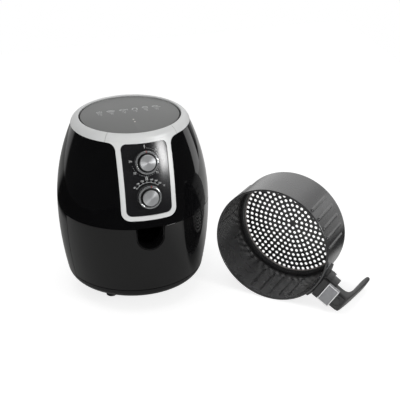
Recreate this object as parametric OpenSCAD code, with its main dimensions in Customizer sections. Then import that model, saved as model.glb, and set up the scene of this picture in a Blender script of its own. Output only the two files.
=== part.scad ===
// Basket air fryer with its frying basket lifted out and laid beside it.
// Front is -Y, up is +Z, and the housing stands on its feet at z = 0.

/* [Housing] */
// Widest diameter of the housing
body_d = 280; // [270:1:292]
// Height of the widest point
belly_z = 175; // [165:1:185]
// Radius of the side's curve above the widest point
upper_arc_r = 383.5; // [370:0.5:400]
// Radius of the side's curve below the widest point
lower_arc_r = 636; // [600:1:680]
// Wall of the mouldings
wall = 3; // [2.5:0.1:3.5]
// Height of the joint between the upper and lower shells
seam_z = 181; // [178:1:184]
// Visible gap along the joints of the shells
seam_gap = 0.6; // [0.4:0.1:1]
// How far the flat base's edge lies inside the widest radius
base_in = 58; // [55:1:62]
// Height of the base above the table
base_z = 14; // [12:0.5:15]
// Slope of the underside
base_slope = 28.5; // [27:0.5:30]
// Radius of the corner between side and underside
corner_r = 24; // [20:1:28]

/* [Top] */
// Height of the ring's crest
crest_z = 344.7; // [344:0.1:346]
// Height of the ring
ring_h = 13.7; // [12.5:0.1:15]
// Radius of the ring's shoulder
shoulder_r = 18; // [17:0.5:19]
// How far the ring and frame stand proud of the shell
trim_proud = 1.1; // [0.8:0.1:1.4]
// Gap between the round top panel and the ring
groove = 2.8; // [2.2:0.1:3.4]
// How far the top panel's underside lies below the crest
panel_drop = 5.5; // [5:0.1:6]
// Thickness of the top panel
top_panel_t = 3; // [2.5:0.1:3.2]
// Angle where the ring's shoulder ends at its lip
lip_a = 79.9; // [78:0.1:81]
// Half of the angle of ring that is moulded with the front frame
frame_sector = 36.5; // [34:0.5:40]

/* [Control panel] */
// Half width of the frame
frame_w = 49.5; // [48:0.5:52]
// Width of the frame's border
frame_border = 8.5; // [8:0.5:10]
// Height of the frame's lower edge
frame_z = 197; // [195:1:199]
// Radius of the frame's outer corners
frame_corner = 15.5; // [13:0.5:17]
// Fillet where the frame runs into the ring
frame_fillet = 12; // [10:0.5:13]
// Height of the timer knob's centre
timer_z = 299; // [297:1:300]
// Height of the temperature knob's centre
thermo_z = 241; // [240:1:243]
// Angle of the temperature pointer at rest, clockwise from the top
thermo_rest = 10; // [0:1:20]

/* [Knobs] */
// Diameter of a knob's bright skirt
knob_d = 42; // [40:0.5:44]
// Diameter of a knob's cap
cap_d = 31; // [30:0.5:32]
// Height of a knob over the panel
knob_h = 22.6; // [21:0.2:24]
// Height of the skirt over the panel
skirt_h = 11; // [10:0.5:12]
// Radius of a spindle
spindle_r = 3; // [2.8:0.1:3.2]

/* [Drawer] */
// Height of the drawer front's lower edge
drawer_z = 50; // [49:0.5:52]
// Half of the angle that the drawer front covers
drawer_angle = 72; // [70:0.5:74]
// Width of the handle notch
notch_w = 51; // [50:0.5:54]
// Depth of the handle notch
notch_h = 44; // [42:0.5:46]
// Room between the pan's rim and the widest radius
pan_room = 30.6; // [30:0.1:31]
// Sheet thickness of the pan
pan_t = 1.2; // [1:0.1:1.5]
// Height of the pan's underside
pan_z = 61; // [60:0.5:63]
// Height of the pan's rim
pan_rim_z = 178; // [177:0.2:178.6]
// Width of the pan's rim flange
pan_flange_w = 7.1; // [6.1:0.1:7.6]

/* [Basket] */
// Gap between the basket's wall and the pan's rim
basket_gap = 1.4; // [1.1:0.1:1.8]
// Width of the basket's rim
rim_w = 2.4; // [2:0.1:2.8]
// Draft of the basket's wall from its rim to its bottom corner
basket_draft = 1.4; // [1:0.1:2]
// Depth of the basket
basket_h = 106.5; // [104:0.5:108]
// Sheet thickness of the basket
sheet = 1; // [0.8:0.1:1.2]
// Radius of the bottom corner
basket_corner = 8; // [7:0.5:9]
// Rings of holes in the bottom
hole_rings = 10; // [9:1:10]
// Distance from one ring of holes to the next
hole_pitch = 9.4; // [9:0.05:9.4]
// Diameter of the holes
hole_d = 5.9; // [5.4:0.1:6.1]
// Length of the pressed ribs
rib_len = 65; // [55:1:70]
// Radius of the pressed ribs
rib_r = 2; // [1.8:0.1:2.2]
// How much lower the ribs are at their bottom end
rib_fade = 0.8; // [0.4:0.1:1]
// Angle from one rib to the next
rib_step = 10.5; // [9:0.5:11]

/* [Handle] */
// Half width of the handle's neck
neck_w = 18; // [17:0.5:19]
// Thickness of the neck
neck_t = 20; // [19:0.5:21]
// Reach of the neck from the basket's rim
neck_reach = 58.6; // [56.6:0.5:60.6]
// How far the grip hangs below the rim
grip_drop = 115; // [105:1:118]
// Half width of the release button
button_w = 14.6; // [13:0.1:15]
// Travel of the release button
button_travel = 4; // [3:0.5:4]
// Length of the sliding button guard
guard_len = 24; // [22:0.5:24]
// Thickness of the button guard
guard_t = 2.2; // [2:0.1:2.4]

/* [Heating] */
// Room between the heating chamber and the widest radius
bowl_room = 39; // [37:0.5:41]
// Height of the heating chamber's ceiling
bowl_top = 228; // [227:0.5:229]
// Radius of the heating tube
tube_r = 3.25; // [3:0.05:3.5]
// Height of the heating coil
coil_z = 203; // [201:0.5:204]
// Turns of the heating coil
coil_turns = 3; // [2:0.5:3]
// Gap between the hot-air fan and the heating chamber's wall
fan_room = 31; // [27:1:37]
// Blades on the hot-air fan
fan_blades = 12; // [8:1:16]
// Radius of the cooling fan
cooler_r = 48; // [44:1:50]
// Radius of the motor shaft
shaft_r = 3; // [2.8:0.1:3.1]

/* [Layout] */
// How far to the side of the housing the basket's rim centre lies
basket_side = 84; // [80:1:90]
// Heading of the basket's opening
basket_heading = -132.2; // [-134:0.2:-131]
// Turn of the basket about its own axis as it lies
basket_roll = 147.5; // [146:0.5:149]

/* [Clearances] */
// Gap between neighbouring fixed pieces
fit_gap = 0.2; // [0.15:0.05:0.3]
// Gap round pieces that move
run_gap = 0.35; // [0.3:0.05:0.5]
// Radial clearance of a shaft in its bore
shaft_gap = 0.04; // [0.03:0.01:0.08]

/* [Hidden] */
$fn = 96;

// Colours
shell_black = "#101012";
panel_black = "#1c1c1f";
disc_grey = "#7b7c7b";
silver = "#d9dad8";
chrome = "#e6e7e8";
spun_metal = "#c9cacb";
red = "#b3202a";
steel = "#b9bcc0";
zinc = "#9fa4a8";
coat_black = "#2a2a2b";
handle_grey = "#4a494c";
nylon_black = "#19191b";
rubber_black = "#222224";
clear_grey = [0.8, 0.8, 0.82, 0.45];
copper = "#b5763f";
board_green = "#2f6a45";

belly_r = body_d / 2;
reach = body_d;
base_r = belly_r - base_in;
ring_z = crest_z - ring_h;
pan_r = belly_r - pan_room;
pan_flange_r = pan_r + pan_flange_w;
basket_r = pan_r - basket_gap;
basket_low_r = basket_r - basket_draft;
rim_r = basket_r + rim_w;
neck_end = rim_r + neck_reach;
bowl_r = belly_r - bowl_room;
fan_r = bowl_r - fan_room;
basket_at = [belly_r + basket_side, -belly_r - 0.2];

// ---- Curves shared by the housing ----

// Radius of the housing at height z, drawn in by t
function side_r(z, t = 0) = z >= belly_z
    ? belly_r - upper_arc_r + sqrt(pow(upper_arc_r - t, 2) - pow(z - belly_z, 2))
    : belly_r - lower_arc_r + sqrt(pow(lower_arc_r - t, 2) - pow(z - belly_z, 2));

// Points up the side from z0 to z1, drawn in by t
function side(z0, z1, t = 0, steps = 7) =
    [for (i = [0:steps]) let (z = z0 + (z1 - z0) * i / steps) [side_r(z, t), z]];

function arc(c, r, a0, a1, steps = 6) =
    [for (i = [0:steps]) let (a = a0 + (a1 - a0) * i / steps) c + r * [cos(a), sin(a)]];

function reversed(v) = [for (i = [len(v) - 1:-1:0]) v[i]];

// Outline of a wall between two depths under the side's surface
function band(z0, z1, t0, t1, steps = 7) =
    concat(side(z0, z1, t0, steps), reversed(side(z0, z1, t1, steps)));

// Tilt of the side's outward normal at height z
function side_tilt(z) = asin((z - belly_z) / upper_arc_r);

// The corner between the side and the sloping underside
side_centre = [belly_r - lower_arc_r, belly_z];
slope_normal = [-sin(base_slope), cos(base_slope)];
corner_turn = asin(((side_centre - [base_r, base_z]) * slope_normal - corner_r)
    / (lower_arc_r - corner_r)) - base_slope;
corner_centre = side_centre + (lower_arc_r - corner_r) * [cos(corner_turn), -sin(corner_turn)];

// Points from the base up the underside, round the corner and on to height z1, drawn in by t
function skirt(z1, t = 0) = concat(
    [[base_r - t / sin(base_slope), base_z]],
    arc(corner_centre, corner_r - t, base_slope - 90, -corner_turn, 5),
    [[side_r(z1, t), z1]]);

// The ring's shoulder, tangent to the proud side
shoulder_reach = upper_arc_r + trim_proud - shoulder_r;
shoulder_a = asin((crest_z - shoulder_r - belly_z) / shoulder_reach);
shoulder_centre = [belly_r - upper_arc_r + shoulder_reach * cos(shoulder_a), crest_z - shoulder_r];
shoulder_z = shoulder_centre[1] + shoulder_r * sin(shoulder_a);
ring_t = 2.2;
lip_w = 1.2;
ring_in_r = shoulder_centre[0] + shoulder_r * cos(lip_a) - lip_w;
top_panel_r = ring_in_r - groove;
top_panel_z = crest_z - panel_drop;
cap_z = top_panel_z - fit_gap;
ring_foot = ring_z + fit_gap;

module revolve(points) rotate_extrude() polygon(points);

// A revolved wall that covers only the angles from a0 to a1, counted from the front, positive to +X
module sector(points, a0, a1)
    rotate([0, 0, a0 - 90]) rotate_extrude(angle = a1 - a0) polygon(points);

// Moves a shape drawn upright, as x and z, to a bar through the front of the housing
module front_bar() rotate([90, 0, 0]) linear_extrude(reach) children();

module rear_bar() translate([0, reach, 0]) rotate([90, 0, 0]) linear_extrude(reach) children();

module rounded(x0, x1, z0, z1, r) {
    translate([x0 + r, z0]) square([x1 - x0 - 2 * r, z1 - z0]);
    translate([x0, z0 + r]) square([x1 - x0, z1 - z0 - 2 * r]);
    for (x = [x0 + r, x1 - r], z = [z0 + r, z1 - r])
        translate([x, z]) circle(r);
}

// ---- Housing ----

vent_w = 38;
vent_z = [216, 264];
gland_z = 70;
boss_z = 150;
boss_r = 3.6;
lamp_at = [[1, -25], [1, -36.7]];
lamp_r = 1.6;
ledge_w = 12;
ledge_t = 2.4;
upper_z = seam_z + seam_gap / 2;
lower_z = seam_z - seam_gap / 2;
skirt_top = drawer_z - seam_gap / 2;
floor_z = skirt_top - wall;
deck_z = upper_z + ledge_t + fit_gap;
deck_t = 2;
deck_top = deck_z + deck_t;
panel_corner = 10;
panel_top = ring_z - 0.8;

module frame_outline(grow = 0) {
    w = frame_w + grow;
    rounded(-w, w, frame_z - grow, ring_z + 60, frame_corner + grow);
    for (s = [-1, 1])
        difference() {
            translate([s * (w + frame_fillet / 2), ring_z - frame_fillet / 2 + 1])
                square([frame_fillet + 0.4, frame_fillet + 2], center = true);
            translate([s * (w + frame_fillet - grow), ring_z - frame_fillet])
                circle(frame_fillet - grow);
            translate([s * (w + frame_fillet) - 20, ring_z - 2 * frame_fillet])
                square([40, frame_fillet]);
        }
}

module window_outline(shrink = 0) {
    w = frame_w - frame_border - shrink;
    rounded(-w, w, frame_z + frame_border + shrink, panel_top - shrink, panel_corner - shrink);
}

module upper_shell() color(shell_black) difference() {
    union() {
        revolve(band(upper_z, ring_z, 0, wall));
        revolve([
            [side_r(upper_z) - ledge_w, upper_z], [side_r(upper_z) - wall / 2, upper_z],
            [side_r(upper_z) - wall / 2, upper_z + ledge_t], [side_r(upper_z) - ledge_w, upper_z + ledge_t]
        ]);
        revolve([
            [side_r(ring_z) - 2 * wall, ring_z - wall], [side_r(ring_z) - wall / 2, ring_z - wall],
            [side_r(ring_z) - 1.8, ring_z], [side_r(ring_z) - wall, ring_z + wall / 2],
            [ring_in_r + 4, cap_z - 1.2], [ring_in_r, cap_z], [0, cap_z],
            [0, cap_z - wall], [top_panel_r - 2, cap_z - wall]
        ]);
        for (p = lamp_at)
            translate([p[0], p[1], cap_z - wall - 5]) cylinder(r = 3.4, h = 6);
    }
    intersection() {
        front_bar() frame_outline(fit_gap);
        revolve(band(frame_z - 4, ring_z + 0.01, -5, wall + 5));
    }
    rear_bar() rounded(-vent_w + 4, vent_w - 4, vent_z[0] + 4, vent_z[1] - 4, 5);
    for (p = lamp_at)
        translate([p[0], p[1], cap_z - wall - 6]) cylinder(r = lamp_r + fit_gap, h = wall + 8);
}

module lower_shell() color(shell_black) difference() {
    union() {
        revolve(concat(skirt(skirt_top), reversed(skirt(skirt_top, wall))));
        translate([0, 0, floor_z]) cylinder(r = side_r(skirt_top) - wall / 2, h = wall);
        sector(band(skirt_top, lower_z, 0, wall), drawer_angle, 360 - drawer_angle);
        for (s = [0, 1]) mirror([s, 0, 0])
            sector(band(skirt_top - 1, lower_z - 1, wall - 0.5, wall + 5, 4), drawer_angle + 0.3, drawer_angle + 1.6);
        for (a = [100, 140, 180, 220, 260]) rotate([0, 0, a - 90])
            translate([side_r(boss_z) - wall - boss_r + 0.6, 0, boss_z]) cylinder(r = boss_r, h = pan_rim_z - fit_gap - boss_z);
        for (s = [-1, 1]) translate([s * 60 - 3, -100, skirt_top - 1])
            cube([6, 200, pan_z - run_gap - skirt_top + 1]);
        translate([0, side_r(gland_z) - wall - 3, gland_z]) rotate([-90, 0, 0]) cylinder(r = 11, h = wall + 1);
    }
    translate([0, side_r(gland_z) - 30, gland_z]) rotate([-90, 0, 0]) cylinder(r = gland_body_r + fit_gap, h = 60);
    translate([0, side_r(gland_z), gland_z]) rotate([-90, 0, 0]) cylinder(r = gland_flange_r + fit_gap, h = 30);
}

module base_plate() color(nylon_black) difference() {
    union() {
        translate([0, 0, base_z]) cylinder(r = base_r - wall / sin(base_slope) - fit_gap, h = 2.4);
        translate([0, 0, base_z + 2.3]) cylinder(r = 12, h = floor_z - base_z - 2.3 - fit_gap);
        at_feet() translate([0, 0, base_z + 2.3]) cylinder(r = 5, h = floor_z - base_z - 2.3 - fit_gap);
    }
    for (r = [28:9:46], a = [0:30:330]) rotate([0, 0, a + r])
        translate([r, -1.6, base_z - 1]) cube([6.5, 3.2, 4]);
    at_feet() translate([0, 0, base_z - 1]) cylinder(r = screw_r + fit_gap, h = 20);
}

foot_r = 11;
screw_r = 2;
module at_feet() for (a = [35, 145, 215, 325]) rotate([0, 0, a]) translate([base_r - 13, 0, 0]) children();

module feet() color(rubber_black) at_feet() difference() {
    rotate_extrude() polygon([
        [0, 0], [foot_r - 2, 0], [foot_r - 1, 1], [foot_r, base_z - fit_gap], [0, base_z - fit_gap]
    ]);
    translate([0, 0, -1]) cylinder(r = 4.6, h = 8);
    cylinder(r = screw_r + fit_gap, h = base_z + 1);
}

module base_screws() color(zinc) at_feet() {
    translate([0, 0, 7 - 2.8]) cylinder(r = 4, h = 2.8);
    translate([0, 0, 7 - 0.01]) cylinder(r = screw_r, h = 24);
}

ring_profile = concat(
    side(ring_foot, shoulder_z, -trim_proud, 1),
    arc(shoulder_centre, shoulder_r, shoulder_a, lip_a, 7),
    [[ring_in_r, crest_z - 1.6], [ring_in_r, top_panel_z], [ring_in_r + ring_t - 0.4, top_panel_z]],
    arc(shoulder_centre, shoulder_r - ring_t, lip_a - 8, shoulder_a, 5),
    side(ring_foot, ring_foot, ring_t - trim_proud, 1));

module top_ring() color(silver) sector(ring_profile, frame_sector + 0.15, 360 - frame_sector - 0.15);

module front_frame() color(silver) union() {
    difference() {
        intersection() {
            revolve(band(frame_z - 4, ring_z + 1, -trim_proud, ring_t - trim_proud));
            front_bar() frame_outline();
        }
        front_bar() window_outline();
    }
    sector(ring_profile, -frame_sector, frame_sector);
}

// Carries a child from a knob's own place to its place on the panel
module at_knob(z) translate([0, -side_r(z), z]) rotate([90 - side_tilt(z), 0, 0]) children();
module at_timer() at_knob(timer_z) children();
module at_thermo() at_knob(thermo_z) children();

post_x = 27;
plate_back = -9;
plate_t = 1.5;

module control_panel() color(panel_black) difference() {
    union() {
        intersection() {
            revolve(band(frame_z, ring_z, 0.2, 2.6));
            front_bar() window_outline(fit_gap);
        }
        at_timer() for (x = [-post_x, post_x]) translate([x, 0, plate_back + plate_t + fit_gap])
            cylinder(r = 3, h = 5.4);
        at_thermo() for (x = [-post_x, post_x]) translate([x, 0, plate_back + plate_t + fit_gap])
            cylinder(r = 3, h = 5.4);
    }
    at_timer() translate([0, 0, -12]) cylinder(r = 5.6, h = 20);
    at_thermo() translate([0, 0, -12]) cylinder(r = 5.6, h = 20);
}

module top_panel() color(disc_grey) difference() {
    translate([0, 0, top_panel_z]) rotate_extrude() polygon([
        [0, 0], [top_panel_r, 0], [top_panel_r, top_panel_t - 0.4], [top_panel_r - 0.4, top_panel_t], [0, top_panel_t]
    ]);
    for (p = lamp_at) translate([p[0], p[1], top_panel_z - 1]) cylinder(r = lamp_r + fit_gap, h = 8);
}

module top_seal() color(rubber_black) translate([0, 0, top_panel_z]) difference() {
    cylinder(r = ring_in_r - fit_gap, h = 1.2);
    translate([0, 0, -1]) cylinder(r = top_panel_r + fit_gap, h = 4);
}

module lamp_lenses() color("#d8cfc0") for (p = lamp_at) translate([p[0], p[1], cap_z - wall - 6])
    cylinder(r = lamp_r, h = top_panel_z + top_panel_t - cap_z + wall + 6);

module lamp_board() color(board_green) translate([lamp_at[0][0] - 9, lamp_at[1][1] - 8, cap_z - wall - 8])
    cube([18, 28, 1.6]);

module control_bracket() color(steel) difference() {
    union() {
        at_timer() translate([-post_x - 4, -24, plate_back]) cube([2 * post_x + 8, 46, plate_t]);
        at_thermo() translate([-post_x - 4, -22, plate_back]) cube([2 * post_x + 8, 50, plate_t]);
    }
    at_timer() translate([0, 0, plate_back - 1]) cylinder(r = 7, h = 4);
    at_thermo() translate([0, 0, plate_back - 1]) cylinder(r = 7, h = 4);
}

module spindle_seat() difference() {
    union() {
        children();
        translate([0, 0, plate_back - 2]) cylinder(r = 6.4, h = plate_t + 3.4);
    }
    translate([0, 0, plate_back - 20]) cylinder(r = spindle_r + shaft_gap, h = 30);
}

module timer_unit() color(zinc) at_timer() spindle_seat() union() {
    translate([-24, -20, plate_back - 1.6]) cube([48, 40, 1.4]);
    translate([0, 0, plate_back - 27]) cylinder(r = 20, h = 26);
    translate([0, 0, plate_back - 31]) cylinder(r = 2.4, h = 6);
}

module timer_bell() color(spun_metal) at_timer() translate([0, 0, plate_back - 27.4]) mirror([0, 0, 1]) difference() {
    union() {
        cylinder(r1 = 17, r2 = 15, h = 7);
        translate([0, 0, 7]) cylinder(r1 = 15, r2 = 9, h = 3);
    }
    translate([0, 0, -1]) cylinder(r1 = 16, r2 = 14, h = 7);
    cylinder(r = 2.4 + fit_gap, h = 20);
}

module thermostat() color(zinc) at_thermo() spindle_seat() union() {
    translate([-17, -15, plate_back - 17.2]) cube([34, 30, 17]);
    translate([-9, -15, plate_back - 21.2]) cube([5, 14, 6]);
    translate([4, -15, plate_back - 21.2]) cube([5, 14, 6]);
}

module thermostat_bulb() color(copper) {
    translate([-bulb_x, -30, coil_z + 8]) rotate([-90, 0, 0]) cylinder(r = bulb_r, h = 60);
    translate([-bulb_x, -30, coil_z + 8]) sphere(bulb_r);
    translate([-bulb_x, 0, coil_z + 8]) cylinder(r = capillary_r, h = bowl_top + 10 - coil_z - 8);
}

module spindle() translate([0, 0, plate_back - 19]) cylinder(r = spindle_r, h = 19 - plate_back + 10);

module core() difference() {
    union() {
        translate([0, 0, 1]) cylinder(r = knob_d / 2 - 4 - fit_gap, h = 8);
        translate([0, 0, 8.9]) cylinder(r = cap_d / 2 - 1.2, h = 4.1);
    }
    translate([0, 0, 0]) cylinder(r = spindle_r + fit_gap / 2, h = 10.2);
}

skirt_section = [
    [knob_d / 2 - 4, 1], [knob_d / 2, 1], [knob_d / 2, skirt_h / 2],
    [knob_d / 2 - 2.6, skirt_h], [knob_d / 2 - 4, skirt_h]
];
module knob_skirt() revolve(skirt_section);

module knob_cap() revolve([
    [0, 13 + fit_gap], [cap_d / 2 - 0.6, 13 + fit_gap], [cap_d / 2, 14],
    [cap_d / 2, knob_h - 1.4], [cap_d / 2 - 1, knob_h], [0, knob_h - 0.5]
]);

module pointer_mark() rotate([0, 0, 87]) rotate_extrude(angle = 6) polygon([
    [knob_d / 2 + 0.02, skirt_h / 2 + 0.3], [knob_d / 2 + 0.4, skirt_h / 2 + 0.4],
    [knob_d / 2 - 2.2, skirt_h + 0.35], [knob_d / 2 - 3.8, skirt_h + 0.35],
    [knob_d / 2 - 3.8, skirt_h + 0.02], [knob_d / 2 - 2.58, skirt_h + 0.02]
]);

module timer_spindle() color(steel) at_timer() spindle();
module timer_core() color(nylon_black) at_timer() core();
module timer_skirt() color(chrome) at_timer() knob_skirt();
module timer_cap() color(spun_metal) at_timer() knob_cap();
module timer_pointer() color(red) at_timer() pointer_mark();
module thermo_spindle() color(steel) at_thermo() spindle();
module thermo_core() color(nylon_black) at_thermo() core();
module thermo_skirt() color(chrome) at_thermo() knob_skirt();
module thermo_cap() color(spun_metal) at_thermo() knob_cap();
module thermo_pointer() color(red) at_thermo() rotate([0, 0, -thermo_rest]) pointer_mark();

// ---- Heating and air ----

module deck_plate() color(steel) difference() {
    translate([0, 0, deck_z]) cylinder(r = side_r(deck_z) - wall - 2, h = deck_t);
    translate([0, 0, deck_z - 1]) cylinder(r = bowl_r, h = deck_t + 2);
}

bowl_lip = 9;
bulb_r = 2.4;
bulb_x = bowl_r - 18;
capillary_r = 1;
module heat_bowl() color(steel) difference() {
    revolve(concat(
        [[bowl_r, deck_top + fit_gap], [bowl_r + bowl_lip, deck_top + fit_gap],
         [bowl_r + bowl_lip, deck_top + fit_gap + sheet], [bowl_r + sheet, deck_top + fit_gap + sheet]],
        arc([bowl_r - 14, bowl_top - 14], 14 + sheet, 0, 90, 5),
        [[shaft_r + 6, bowl_top + sheet], [shaft_r + 6, bowl_top]],
        arc([bowl_r - 14, bowl_top - 14], 14, 90, 0, 5)));
    translate([-bulb_x, 0, bowl_top - 1]) cylinder(r = capillary_r + fit_gap, h = 4);
}

coil_in_r = 36;
coil_out_r = bowl_r - 17;
coil_steps = 24;
coil_sides = 8;

// Radius and angle of the heating coil at its step i of n
function coil_point(i, n) = let (f = i / n, r = coil_in_r + (coil_out_r - coil_in_r) * f, a = 90 - 360 * coil_turns * (1 - f))
    [r * cos(a), r * sin(a), a];

// A tube swept along the coil, as one closed polyhedron
module coil_tube() {
    n = round(coil_steps * coil_turns);
    m = coil_sides;
    points = [for (i = [0:n], j = [0:m - 1])
        let (p = coil_point(i, n), b = 360 * j / m)
        [p[0] + tube_r * cos(b) * cos(p[2]), p[1] + tube_r * cos(b) * sin(p[2]), coil_z + tube_r * sin(b)]];
    faces = concat(
        [[for (j = [0:m - 1]) j]],
        [for (i = [0:n - 1], j = [0:m - 1])
            [i * m + j, (i + 1) * m + j, (i + 1) * m + (j + 1) % m, i * m + (j + 1) % m]],
        [[for (j = [m - 1:-1:0]) n * m + j]]);
    polyhedron(points, faces);
}

module heating_element() color(steel) {
    coil_tube();
}

module element_clips() color(zinc) for (a = [30, 150, 270]) rotate([0, 0, a]) {
    translate([coil_in_r - 5, -4, coil_z + tube_r + fit_gap]) cube([bowl_r - coil_in_r + 4.5, 8, 1.4]);
}

module thermal_cutout() color(nylon_black) translate([64, 30, bowl_top + sheet + fit_gap]) {
    cylinder(r = 8, h = 4);
    translate([0, 0, 3.9]) cylinder(r = 5, h = 3);
    for (s = [-1, 1]) translate([s * 3 - 0.4, -2, 6.8]) cube([0.8, 4, 5]);
}

bracket_z = 254;
bracket_t = 1.5;
leg_r = bowl_r + bowl_lip + 4;
motor_r = 31;
module motor_bracket() color(steel) difference() {
    union() {
        translate([0, 0, bracket_z]) cylinder(r = motor_r + 12, h = bracket_t);
        for (a = [40, 140, 220, 320]) rotate([0, 0, a]) {
            translate([0, -8, bracket_z]) cube([leg_r + bracket_t, 16, bracket_t]);
            translate([leg_r, -8, deck_top + fit_gap]) cube([bracket_t, 16, bracket_z - deck_top]);
            translate([leg_r, -8, deck_top + fit_gap]) cube([9, 16, bracket_t]);
        }
    }
    translate([0, 0, bracket_z - 1]) cylinder(r = 12, h = 4);
    for (a = [0:45:315]) rotate([0, 0, a]) translate([26, 0, bracket_z - 1]) cylinder(r = 4, h = 4);
}

motor_z = bracket_z + bracket_t + fit_gap;
module motor() color(zinc) difference() {
    union() {
        translate([0, 0, motor_z]) cylinder(r = motor_r - 5, h = 32);
        translate([-motor_r + 2, -motor_r + 2, motor_z + 6]) cube([2 * motor_r - 4, 2 * motor_r - 4, 18]);
        translate([0, 0, motor_z + 32 - 0.1]) cylinder(r1 = 14, r2 = 10, h = 5);
        for (s = [-1, 1]) translate([s * (motor_r - 6) - 4, -4, motor_z]) cube([8, 8, 10]);
    }
    translate([0, 0, motor_z - 1]) cylinder(r = shaft_r + shaft_gap, h = 50);
}

shaft_z = 206;
fan_z = 212;
module motor_shaft() color(steel) translate([0, 0, shaft_z]) cylinder(r = shaft_r, h = motor_z + 44 - shaft_z);

module hot_fan() color(steel) difference() {
    union() {
        translate([0, 0, fan_z]) cylinder(r = 9, h = 11.2);
        translate([0, 0, fan_z + 10]) cylinder(r = fan_r, h = 1.2);
        for (i = [0:fan_blades - 1]) rotate([0, 0, i * 360 / fan_blades])
            translate([fan_r * 0.42, 0, fan_z]) rotate([0, 0, 24]) cube([fan_r * 0.55, 1.2, 10.4]);
    }
    translate([0, 0, fan_z - 1]) cylinder(r = shaft_r + fit_gap / 4, h = 20);
}

module fan_nut() color(zinc) translate([0, 0, fan_z - 4 - fit_gap]) difference() {
    cylinder(r = 6.4, h = 4, $fn = 6);
    translate([0, 0, -1]) cylinder(r = shaft_r + fit_gap / 4, h = 6);
}

cooler_z = bowl_top + 8;
cooler_h = 11;
module cooling_fan() color("#d8d4c8") difference() {
    union() {
        translate([0, 0, cooler_z]) cylinder(r = 10, h = cooler_h);
        for (a = [0:45:315]) rotate([0, 0, a]) translate([0, 0, cooler_z + cooler_h / 2]) rotate([28, 0, 0])
            translate([8, -9, -0.6]) cube([cooler_r - 8, 18, 1.2]);
    }
    translate([0, 0, cooler_z - 1]) cylinder(r = shaft_r + fit_gap / 4, h = cooler_h + 5);
}

duct_w = 34;
duct_y = bowl_r + sheet + 3;
duct_end = side_r(vent_z[1]) - wall - 5.5;
module exhaust_duct() color(steel) difference() {
    union() {
        translate([-duct_w, duct_y, vent_z[0] + 3]) cube([2 * duct_w, duct_end - duct_y, vent_z[1] - vent_z[0] - 6]);
        for (s = [-1, 1]) translate([s * (duct_w - 4) - 4, duct_y + 9, deck_top + fit_gap])
            cube([8, sheet, vent_z[0] + 3.5 - deck_top]);
    }
    translate([-duct_w + sheet, bowl_r, vent_z[0] + 3 + sheet])
        cube([2 * duct_w - 2 * sheet, 40, vent_z[1] - vent_z[0] - 6 - 2 * sheet]);
}

module exhaust_grille() color(nylon_black) difference() {
    union() {
        intersection() {
            revolve(band(vent_z[0] - 3, vent_z[1] + 3, -1.2, -0.1, 4));
            rear_bar() rounded(-vent_w, vent_w, vent_z[0], vent_z[1], 8);
        }
        intersection() {
            revolve(band(vent_z[0] - 3, vent_z[1] + 3, -0.8, wall + 1, 4));
            rear_bar() rounded(-vent_w + 4.3, vent_w - 4.3, vent_z[0] + 4.3, vent_z[1] - 4.3, 5);
        }
    }
    for (z = [vent_z[0] + 8:6:vent_z[1] - 10])
        translate([-vent_w + 8, 0, z]) cube([2 * vent_w - 16, reach, 3.2]);
}

liner_r = belly_r - 19.4;
module chamber_liner() color(steel) {
    sector([[liner_r, skirt_top + fit_gap], [liner_r + sheet, skirt_top + fit_gap],
        [liner_r + sheet, pan_rim_z + 1], [liner_r, pan_rim_z + 1]], 90, 270);
    sector([[liner_r, pan_rim_z], [side_r(pan_rim_z) - wall - fit_gap, pan_rim_z],
        [side_r(pan_rim_z) - wall - fit_gap, pan_rim_z + 1], [liner_r, pan_rim_z + 1]], 90, 270);
    for (s = [0, 1]) mirror([s, 0, 0])
        translate([liner_r, -22, skirt_top + fit_gap]) cube([sheet, 22.1, pan_rim_z + 1 - skirt_top - fit_gap]);
}

rail_z = pan_rim_z - pan_t - run_gap;
rail_in_r = pan_flange_r - 3.4;
rail_t = 4;
module pan_rails() color(nylon_black) union() {
    sector([
        [rail_in_r, rail_z - rail_t], [liner_r - fit_gap, rail_z - rail_t],
        [liner_r - fit_gap, rail_z], [rail_in_r, rail_z]
    ], 90, 270);
    for (s = [0, 1]) mirror([s, 0, 0]) translate([rail_in_r, -21, rail_z - rail_t])
        cube([liner_r - fit_gap - rail_in_r, 21.5, rail_t]);
}

module micro_switch() color(nylon_black) {
    translate([-10, liner_r - 11, pan_rim_z + 1.4]) cube([20, 10, deck_z - pan_rim_z - 1.6]);
}

gland_r = 3.6;
gland_body_r = 7;
gland_flange_r = 10;
gland_depth = 8;
module cord_gland() color(rubber_black) translate([0, side_r(gland_z), gland_z]) rotate([-90, 0, 0]) difference() {
    union() {
        translate([0, 0, -gland_depth]) cylinder(r = gland_body_r, h = gland_depth + 1);
        translate([0, 0, fit_gap]) cylinder(r1 = gland_flange_r, r2 = gland_flange_r - 1, h = 2.2);
        translate([0, 0, -gland_depth]) cylinder(r = gland_flange_r - 0.6, h = 1.6);
    }
    translate([0, 0, -40]) cylinder(r = gland_r, h = 80);
}

// ---- Drawer ----

front_z0 = drawer_z + seam_gap / 2;
front_z1 = lower_z;
notch_r = notch_w / 2;
notch_bottom = seam_z - notch_h;
return_w = 9;
jamb = 0.25;

module notch_outline(grow = 0) {
    translate([0, notch_bottom + notch_r]) circle(notch_r + grow);
    translate([-notch_r - grow, notch_bottom + notch_r]) square([2 * notch_r + 2 * grow, 60]);
}

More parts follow.
